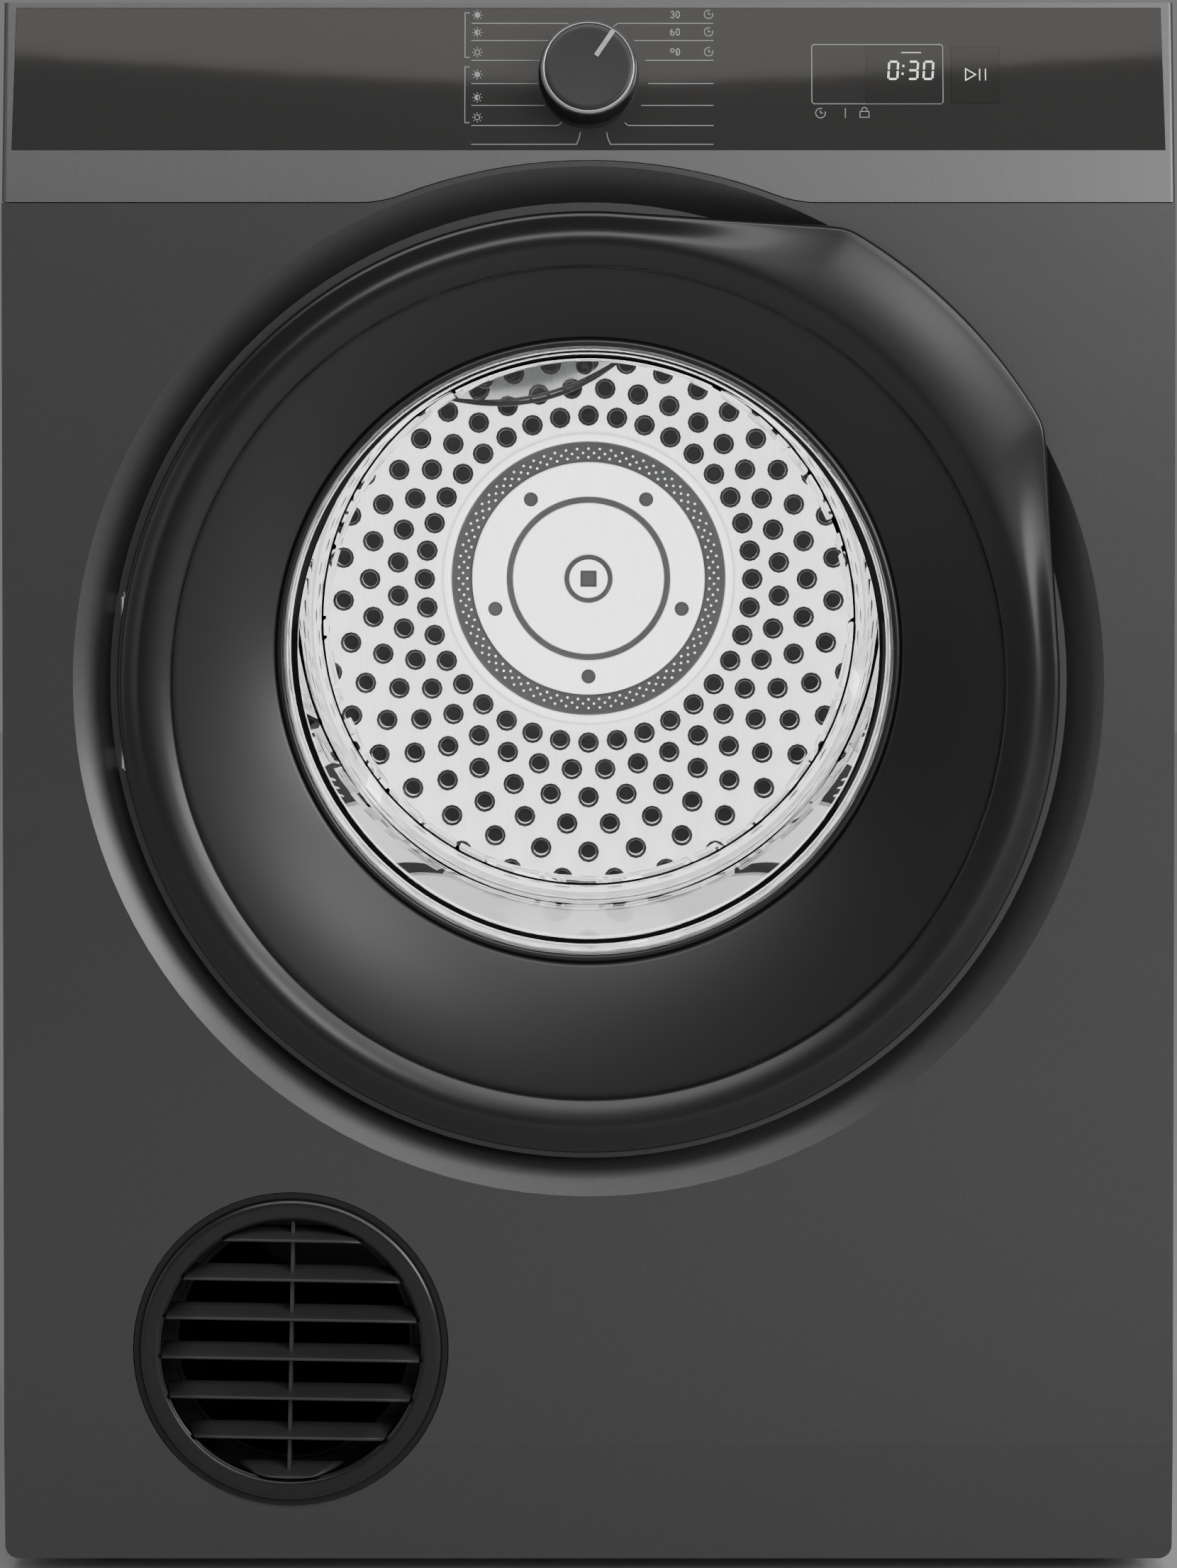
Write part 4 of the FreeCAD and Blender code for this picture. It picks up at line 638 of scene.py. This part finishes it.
def fascia_signs():
    """The rules and icons, the figures beside them, and the lit time and start sign."""
    signs = programme_ring()
    left, right, low, high, cut = 114.4, 181.6, 51.4, 82.3, 1.0
    signs.append(np.array([(left + cut, low), (right - cut, low), (right, low + cut),
                           (right, high - cut), (right - cut, high), (left + cut, high),
                           (left, high - cut), (left, low + cut), (left + cut, low)]))
    signs += clock(118.8, 46.6, 2.5)
    signs.append(np.array([(131.5, 44.0), (131.5, 49.2)]))
    signs.append(np.array([(139.0, 44.4), (143.6, 44.4), (143.6, 47.4), (139.0, 47.4), (139.0, 44.4)]))
    signs.append(np.vstack([(140.0, 47.4), ring_line(141.3, 48.3, 1.3, 180, 0, 12), (142.6, 47.4)]))
    printed("fascia_rules", signs, 0.34, PRINT, 0.37)
    figures = []
    for row, first in zip(ROWS, "369"):
        figures += numeral(first, 43.0, row - 1.5, 3.4) + numeral("0", 45.8, row - 1.5, 3.4)
    printed("fascia_figures", figures, 0.42, PRINT, 0.37)
    lit = seven_bars("abcdef", 153.6, 64.3, 4.6, 9.0)
    lit += seven_bars("abcdg", 163.8, 64.3, 4.6, 9.0) + seven_bars("abcdef", 171.6, 64.3, 4.6, 9.0)
    lit += [np.array([(160.9, 66.5), (161.0, 67.5)]), np.array([(161.3, 70.6), (161.4, 71.6)])]
    printed("display_figures", lit, 0.95, LIT, 0.53)
    scale = [np.array([(160.4, 78.0), (170.4, 78.0)])]
    start = [np.array([(193.2, 63.6), (193.2, 69.6), (198.4, 66.6), (193.2, 63.6)]),
             np.array([(200.4, 63.6), (200.4, 69.6)]), np.array([(203.4, 63.6), (203.4, 69.6)])]
    printed("display_scale", scale, 0.3, LIT, 0.53)
    printed("start_sign", start, 0.42, LIT, 0.53)


PRINT = moulded("fascia_ink", shade(176), 0.5, 3000, 0.000004, 0.05)
LIT = Finish("lit_segments", Base_Color=shade(235), Roughness=0.5, Emission_Color=(1.0, 0.99, 0.95, 1.0),
             Emission_Strength=1.1)
fascia_signs()


def knob():
    """A black skirt, a waist, a bright chamfer and a slightly dished grey face."""
    skirt = [(0.02, 3.0), (22.4, 3.0), (22.6, 0.9), (25.2, 0.8), (25.6, 1.2), (25.6, 4.4),
             (25.3, 5.0), (24.55, 17.6), (24.3, 18.4), (0.02, 18.4)]
    face = [(0.02, 17.8), (23.6, 17.8), (24.35, 18.5), (24.2, 19.2), (23.0, 21.1), (22.3, 21.7),
            (21.6, 21.9), (19.5, 21.85), (10.0, 21.6), (0.4, 21.55), (0.02, 21.55)]
    for name, outline, finish in (("knob_skirt", skirt, KNOB_SKIRT), ("knob_face", face, KNOB_FACE)):
        outline = np.array(outline) * MM
        made = turned(name, outline, KNOB, "knob", finish, 192, KNOB_AXIS)
        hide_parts("selector_knob")


def knob_edge():
    """The bright cut edge between the knob's face and its side."""
    cut = [(22.5, 21.75), (23.1, 21.3), (24.25, 19.4), (24.5, 18.7), (24.7, 18.9), (24.55, 19.7),
           (23.3, 21.4), (22.5, 21.8)]
    turned("knob_cut_edge", np.array(cut) * MM, KNOB, "knob", STEEL, 192, KNOB_AXIS)


KNOB_FACE = moulded("knob_face_grey", shade(58), 0.3, 2400, 0.00001, 0.06, Metallic=0.35)
knob()
knob_edge()


# ---------------------------------------------------------------- drum, filter and air inlet

HOLE_ROWS = 10
FIRST_ROW, LAST_ROW, PER_ROW, HOLE_R = 99 * MM, 248 * MM, 36, 5 * MM


def many(name, outlines, centres, body, finish, steps=12):
    """One rolled section of (radius, distance) repeated round each centre, in one mesh."""
    angle = np.linspace(0, 2 * np.pi, steps, endpoint=False)
    section = np.asarray(outlines)
    rows = len(section)
    shape = np.stack([section[:, None, 0] * np.cos(angle), 0 * angle + section[:, None, 1],
                      section[:, None, 0] * np.sin(angle)], axis=-1)
    points = (np.asarray(centres)[:, None, None, :] + shape[None]).reshape(-1, 3)
    row, column = np.meshgrid(np.arange(rows - 1), np.arange(steps), indexing="ij")
    ahead = (column + 1) % steps
    one = np.stack([row * steps + column, (row + 1) * steps + column,
                    (row + 1) * steps + ahead, row * steps + ahead], axis=-1).reshape(-1, 4)
    faces = (np.arange(len(centres))[:, None, None] * rows * steps + one[None]).reshape(-1, 4)
    return piece(name, points, faces, body, finish)


def drum_spots():
    """Where the back's holes are: rings of evenly spaced holes, every other ring half a step on."""
    radius = np.repeat(np.linspace(FIRST_ROW, LAST_ROW, HOLE_ROWS), PER_ROW)
    ring = np.repeat(np.arange(HOLE_ROWS), PER_ROW)
    step = np.tile(np.arange(PER_ROW), HOLE_ROWS)
    turn = np.pi / 2 + (step + 0.5 * (ring % 2)) * 2 * np.pi / PER_ROW
    return np.stack([radius * np.cos(turn), 0 * turn + DRUM_FACE, DRUM_Z + radius * np.sin(turn)],
                    axis=-1)


def hole_rims():
    """Each hole's edge stands forward in a low bead and turns back into the hole."""
    bead = np.array([(1.5, 0.2), (0.7, -0.7), (-0.1, -0.1), (-0.4, 1.5)]) * MM + (HOLE_R, 0)
    # The rims' dark colour is painted shade round each hole.
    many("drum_hole_rims", bead, drum_spots(), "drum", SHADED_RIM)


def lens_spot(along, across):
    """A place on the crescent: along runs from one tip to the other, across from its inner
    edge (-1) to its outer edge (1); the edges are shallow arcs that meet at the tips."""
    middle, reach = math.radians(104), 56 * MM
    sweep = 1 - along ** 2
    x = along * reach
    up = 127 * MM + sweep * (across * 15.5 * MM + 1.0 * MM)
    turn = middle - math.pi / 2
    return np.stack([x * math.cos(turn) - up * math.sin(turn), 0 * x + 0 * up,
                     x * math.sin(turn) + up * math.cos(turn)], axis=-1)


def drum_baffle():
    """A shallow clear dome whose outline is a crescent, with a polished double rim round it
    and two screws; the dome's height is a product of two rounded falls."""
    along = np.linspace(-1, 1, 61)[:, None]
    across = np.linspace(-1, 1, 17)[None, :]
    front = lens_spot(along, across)
    height = 6 * MM * (1 - along ** 2) ** 0.5 * (1 - across ** 4) ** 0.5
    front[..., 1] = DRUM_FACE - 0.6 * MM - height
    back = front[:, ::-1][:, 1:-1].copy()
    back[..., 1] = np.minimum(back[..., 1] + 1.6 * MM, DRUM_FACE - 0.3 * MM)
    front[..., 2] += DRUM_Z
    back[..., 2] += DRUM_Z
    loop = np.concatenate([front, back], axis=1)
    loop[0], loop[-1] = loop[0].mean(axis=0), loop[-1].mean(axis=0)
    outward(solid_grid("drum_baffle", loop, "drum", BAFFLE, closed_u=False))
    sweep = np.linspace(-1, 1, 49)
    for index, (inset, thick) in enumerate(((1.0, 1.5), (0.80, 0.9))):
        upper = lens_spot(sweep * (inset ** 0.3), inset + 0 * sweep)
        lower = lens_spot(sweep[::-1] * (inset ** 0.3), -inset + 0 * sweep)[1:-1]
        line = np.concatenate([upper, lower])
        run = np.roll(line, -1, axis=0) - np.roll(line, 1, axis=0)
        run /= np.linalg.norm(run, axis=1, keepdims=True)
        out = np.cross(run, (0.0, 1.0, 0.0))
        turn = np.linspace(0, 2 * np.pi, 9, endpoint=False)[None, :, None]
        bead = (line[:, None, :] + thick * MM * (np.cos(turn) * out[:, None, :] +
                np.sin(turn) * np.array((0.0, 1.0, 0.0))))
        bead += np.array((0, DRUM_FACE - (1.4 + 4.2 * (1 - inset)) * MM, DRUM_Z))
        outward(solid_grid(f"baffle_rim_{index + 1}", bead, "drum", SHADED_RIM))
    bosses = [(radius * math.cos(a) * MM, DRUM_FACE - 5.5 * MM, DRUM_Z + radius * math.sin(a) * MM)
              for radius, a in ((136, math.radians(117.4)), (129, math.radians(91)))]
    dome = [(5.4, 2.6), (5.2, 0.2), (4.6, -0.7), (3.8, -0.8), (3.2, -0.2), (3.0, 0.6), (2.4, 0.4),
            (2.0, -0.9), (0.05, -1.2)]
    many("baffle_screws", np.array(dome) * MM, bosses, "drum", SHADED_RIM, 24)


# Painted shade: a dark steel, much darker than the plate, for the dark rings round the holes and the
# crescent's dark outline. Its gloss adds real reflections.
SHADED_RIM = brushed("rolled_rim", shade(84), 0.3)
DIMPLE = brushed("bright_dimple", shade(225), 0.3, metal=0.3)
BAFFLE = glass("clear_baffle", (0.97, 0.98, 0.98))
hole_rims()
drum_baffle()


def screen_dots():
    """Three rows of tiny bright dimples round the screen, every other row half a step on."""
    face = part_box("filter_mesh")[0][1] - 1.75 * MM
    count = 72
    radius = np.repeat((73.6, 76.2, 78.8), count) * MM
    step = np.tile(np.arange(count), 3)
    turn = (step + 0.5 * np.repeat((0, 1, 0), count)) * 2 * np.pi / count
    spots = np.stack([radius * np.cos(turn), 0 * turn + face, DRUM_Z + radius * np.sin(turn)], axis=-1)
    dimple = np.array([(0.75, 0.1), (0.65, -0.25), (0.4, -0.4), (0.02, -0.5)]) * MM
    many("screen_dimples", dimple, spots, "filter", DIMPLE, 8)


screen_dots()


def filter_front():
    """A turned dish: a sunk hub with a raised collar, a smooth disc, a deep groove, an outer
    disc, then a channel that the screen sits in; the back is hollow."""
    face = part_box("filter_mesh")[0][1] - 0.9 * MM
    outline = [(0.02, -6.4), (11.4, -6.4), (11.8, -7.4), (12.6, -7.8), (13.6, -7.8), (14.2, -7.2),
               (14.6, -5.6), (16.4, -4.9), (18.0, -4.7), (44.6, -4.7), (45.4, -4.2), (45.8, -1.6),
               (49.8, -1.6), (50.3, -4.2), (51.2, -4.7), (68.6, -4.7), (70.2, -4.0), (70.6, -0.2),
               (83.2, -0.2), (83.7, -3.2), (84.8, -4.4), (87.2, -4.2), (88.0, -3.2), (88.0, 0.0),
               (83.6, 0.0), (83.6, 13.8), (81.2, 13.8), (81.2, 0.9), (0.02, 0.9)]
    outline = rounded(np.array(outline) * MM, 0.35 * MM, 2)
    made = turned("filter_dish", outline, (0, face, DRUM_Z), "filter", DISC, 256)
    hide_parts("lint_filter")
    # Painted shade: dark grey pieces in the groove, round the hub, in the pits and in the hub's socket,
    # where the filter's hollows fall dark.
    grooves = [(45.9, -1.9), (46.1, -2.3), (49.5, -2.3), (49.7, -1.9), (49.7, -1.65), (45.9, -1.65)]
    turned("filter_groove", np.array(grooves) * MM, (0, face, DRUM_Z), "filter", FILTER_SHADE, 192)
    collar = [(11.5, -6.6), (11.7, -8.0), (12.6, -8.5), (13.7, -8.4), (14.6, -7.6), (14.9, -5.0),
              (14.5, -5.0), (11.5, -6.5)]
    turned("filter_collar", np.array(collar) * MM, (0, face, DRUM_Z), "filter", FILTER_SHADE, 128)
    spots = [(59.4 * MM * math.cos(a), face - 4.7 * MM, DRUM_Z + 59.4 * MM * math.sin(a))
             for a in np.radians(-90 + 72 * np.arange(5))]
    pit = [(4.5, 0.05), (4.3, -0.35), (3.9, -0.4), (3.7, -0.1), (3.3, -0.05), (0.02, -0.05)]
    many("filter_holes", np.array(pit) * MM, spots, "filter", FILTER_SHADE, 24)
    corner = np.array([(-1, -1), (1, -1), (1, 1), (-1, 1)])
    wall = [corner * 5.0 * MM, corner * 5.0 * MM, corner * 4.2 * MM, corner * 3.9 * MM,
            corner * 0.01 * MM]
    depth = np.array((-6.2, -6.9, -7.0, -6.62, -6.62)) * MM
    square = np.stack([np.stack([w[:, 0], 0 * w[:, 0] + face + d, DRUM_Z + w[:, 1]], axis=-1)
                       for w, d in zip(wall, depth)])
    made = solid_grid("filter_hub_square", square, "filter", FILTER_SHADE, closed_u=False, smooth=False)
    turn_to(made, np.array((0.0, -1.0, 0.0)))


def filter_screen():
    """The screen's ring, dished slightly, in place of the plain thin ring."""
    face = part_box("filter_mesh")[0][1] - 0.9 * MM
    screen = [(70.3, -0.3), (72.0, -0.7), (77.0, -1.0), (82.0, -0.7), (83.6, -0.3), (83.6, 0.5),
              (70.3, 0.5)]
    made = turned("filter_screen", np.array(screen) * MM, (0, face, DRUM_Z), "filter", SCREEN, 256)
    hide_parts("filter_mesh")


DISC = brushed("filter_disc_steel", shade(236, 0.002), 0.42, (26, 1, 1), metal=0.2)
# Painted shade: the dark grey laid in the filter's hollows and round its hub.
FILTER_SHADE = moulded("dark_seal", shade(30), 0.5)
SCREEN = moulded("dark_screen", shade(30), 0.5, 1800, 0.00005)
filter_front()
filter_screen()


# ---------------------------------------------------------------- front vent

def vent_ring():
    """A flat face with a soft outer shoulder, a stepped bevel and a deep inner bore."""
    outline = [(77.5, -0.6), (77.0, -1.7), (75.8, -2.4), (74.2, -2.6), (69.4, -2.55), (68.2, -2.2),
               (67.4, -1.4), (66.7, -0.9), (66.5, 0.2), (66.5, 2.9), (74.4, 2.9), (74.5, 15.9),
               (77.5, 15.9)]
    outline = rounded(np.array(outline) * MM, 0.25 * MM, 2)
    made = turned("vent_ring_shell", outline, (VENT[0], FRONT, VENT[2]), "vent", RING, 256)
    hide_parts("vent_ring")


def vent_bar(name, loop, smooth):
    """A bar of the grille from its cross-sections, each end closed at the section's middle."""
    low, high = (loop[end].mean(axis=0) + 0 * loop[:1] for end in (0, -1))
    loop = np.concatenate([low, loop, high])
    made = outward(solid_grid(name, loop, "vent", SLAT, closed_u=False, smooth=smooth))
    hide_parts("vent_louvre")


def vent_slats():
    """Each slat is a flat blade that leans back and up, with a round nose along its front edge
    and both ends trimmed to the ring; the upright rib runs behind them."""
    tilt = math.radians(1)
    turn = np.linspace(0, 2 * np.pi, 20, endpoint=False)
    blade = np.array([(-3.2, 0.9), (13.3, 6.2)])
    along = (blade[1] - blade[0]) / np.linalg.norm(blade[1] - blade[0])
    over = np.array((-along[1], along[0]))
    stretch, thick = np.linalg.norm(blade[1] - blade[0]) / 2, 1.05
    middle = blade.mean(axis=0)
    cosine, sine = np.cos(turn), np.sin(turn)
    section = (middle + np.outer(np.sign(cosine) * np.abs(cosine) ** 0.28 * stretch, along)
               + np.outer(np.sign(sine) * np.abs(sine) ** 0.55 * thick, over))
    rows = []
    for index in range(-3, 4):
        height = 20.3 * index - 5.6 + section[:, 1]
        reach = np.sqrt(np.maximum(66.1 ** 2 - height ** 2, 0.01))
        share = np.linspace(-1, 1, 9)[:, None]
        x, z = share * reach, height + 0 * share
        turned_x = x * math.cos(tilt) + z * math.sin(tilt)
        turned_z = -x * math.sin(tilt) + z * math.cos(tilt)
        rows.append((VENT[0] + turned_x * MM, FRONT + (section[:, 0] + 0 * share) * MM,
                     VENT[2] + turned_z * MM))
    for index, (x, y, z) in enumerate(rows):
        vent_bar(f"vent_slat_{index + 1}", np.stack([x, y, z], axis=-1), True)
    rail = np.linspace(-65.6, 65.6, 7)[:, None]
    square = np.array([(-0.9, 3.2), (0.9, 3.2), (1.0, 12.9), (-1.0, 12.9)])
    x = square[:, 0] * math.cos(tilt) + rail * math.sin(tilt)
    z = -square[:, 0] * math.sin(tilt) + rail * math.cos(tilt)
    y = square[:, 1] + 0 * rail
    vent_bar("vent_rib", np.stack([VENT[0] + x * MM, FRONT + y * MM, VENT[2] + z * MM], axis=-1), False)


SLAT = moulded("vent_slat_grey", shade(58), 0.42, 2400, 0.00002, 0.08)
vent_ring()
vent_slats()


# ---------------------------------------------------------------- floor, light and camera

def studio():
    """A pale floor under a dim, even white sky."""
    size, floor = 6.0, Finish("pale_floor", Base_Color=(0.72, 0.72, 0.72), Roughness=0.9)
    flat = bpy.data.meshes.new("floor")
    flat.from_pydata([(-size, -size, 0), (size, -size, 0), (size, size, 0), (-size, size, 0)], [],
                     [(0, 1, 2, 3)])
    flat.materials.append(floor.material)
    ground = bpy.data.objects.new("floor", flat)
    bpy.context.scene.collection.objects.link(ground)
    world = bpy.data.worlds.new("studio")
    world.use_nodes = True
    sky = world.node_tree.nodes["Background"]
    sky.inputs["Color"].default_value = (1, 1, 1, 1)
    sky.inputs["Strength"].default_value = 0.2
    bpy.context.scene.world = world


def lamp(name, spot, aim, size, power, colour=(1, 1, 1)):
    """A soft rectangular light at a spot, turned to face a point."""
    light = bpy.data.lights.new(name, "AREA")
    light.shape, light.size, light.size_y = "RECTANGLE", size[0], size[1]
    light.energy, light.color = power, colour
    made = bpy.data.objects.new(name, light)
    made.location = spot
    made.rotation_euler = (Vector(aim) - Vector(spot)).to_track_quat("-Z", "Y").to_euler()
    bpy.context.scene.collection.objects.link(made)
    return made


def overhead_card():
    """A large dim lit card above the camera; its lower edge sags a little in the middle."""
    across = np.linspace(-1.5, 2.1, 41)[:, None]
    up = np.linspace(0, 1, 3)[None, :]
    edge = 1.548 - 0.045 * np.exp(-(across / 0.55) ** 2)
    points = np.stack([across + 0 * up, -2.45 + 0 * (across + up), edge + (2.3 - edge) * up], axis=-1)
    glow = Finish("card_glow", Base_Color=(0, 0, 0), Emission_Color=(1.0, 0.985, 0.96, 1.0),
                  Emission_Strength=1.05)
    card = solid_grid("overhead_card", points, None, glow, closed_u=False, closed_v=False)


studio()
lamp("key", (2.1, -2.1, 1.25), (0.1, -0.2, 0.55), (1.2, 1.2), 34)
lamp("high_sheet", (0.15, -2.05, 2.2), (0, -0.2, 0.35), (2.6, 0.8), 20)
lamp("right_front", (0.95, -2.9, 1.3), (0.3, -0.2, 0.75), (0.6, 0.5), 9)
lamp("left_sheet", (-2.2, -1.2, 0.9), (0, -0.2, 0.5), (0.9, 1.6), 3)
overhead_card()
inside = lamp("drum_light", (0, FRONT + 160 * MM, DRUM_Z), (0, FRONT + 1, DRUM_Z), (0.34, 0.34), 9)
inside.visible_camera = inside.visible_glossy = inside.visible_transmission = False

camera = bpy.data.cameras.new("camera")
camera.sensor_fit = "AUTO"
camera.lens = 112.2
camera.shift_y = -0.19
view = bpy.data.objects.new("camera", camera)
view.location = (0, FRONT - 2.5, 0.61)
view.rotation_euler = (math.radians(90 - 1.1), 0, 0)
bpy.context.scene.collection.objects.link(view)
bpy.context.scene.camera = view
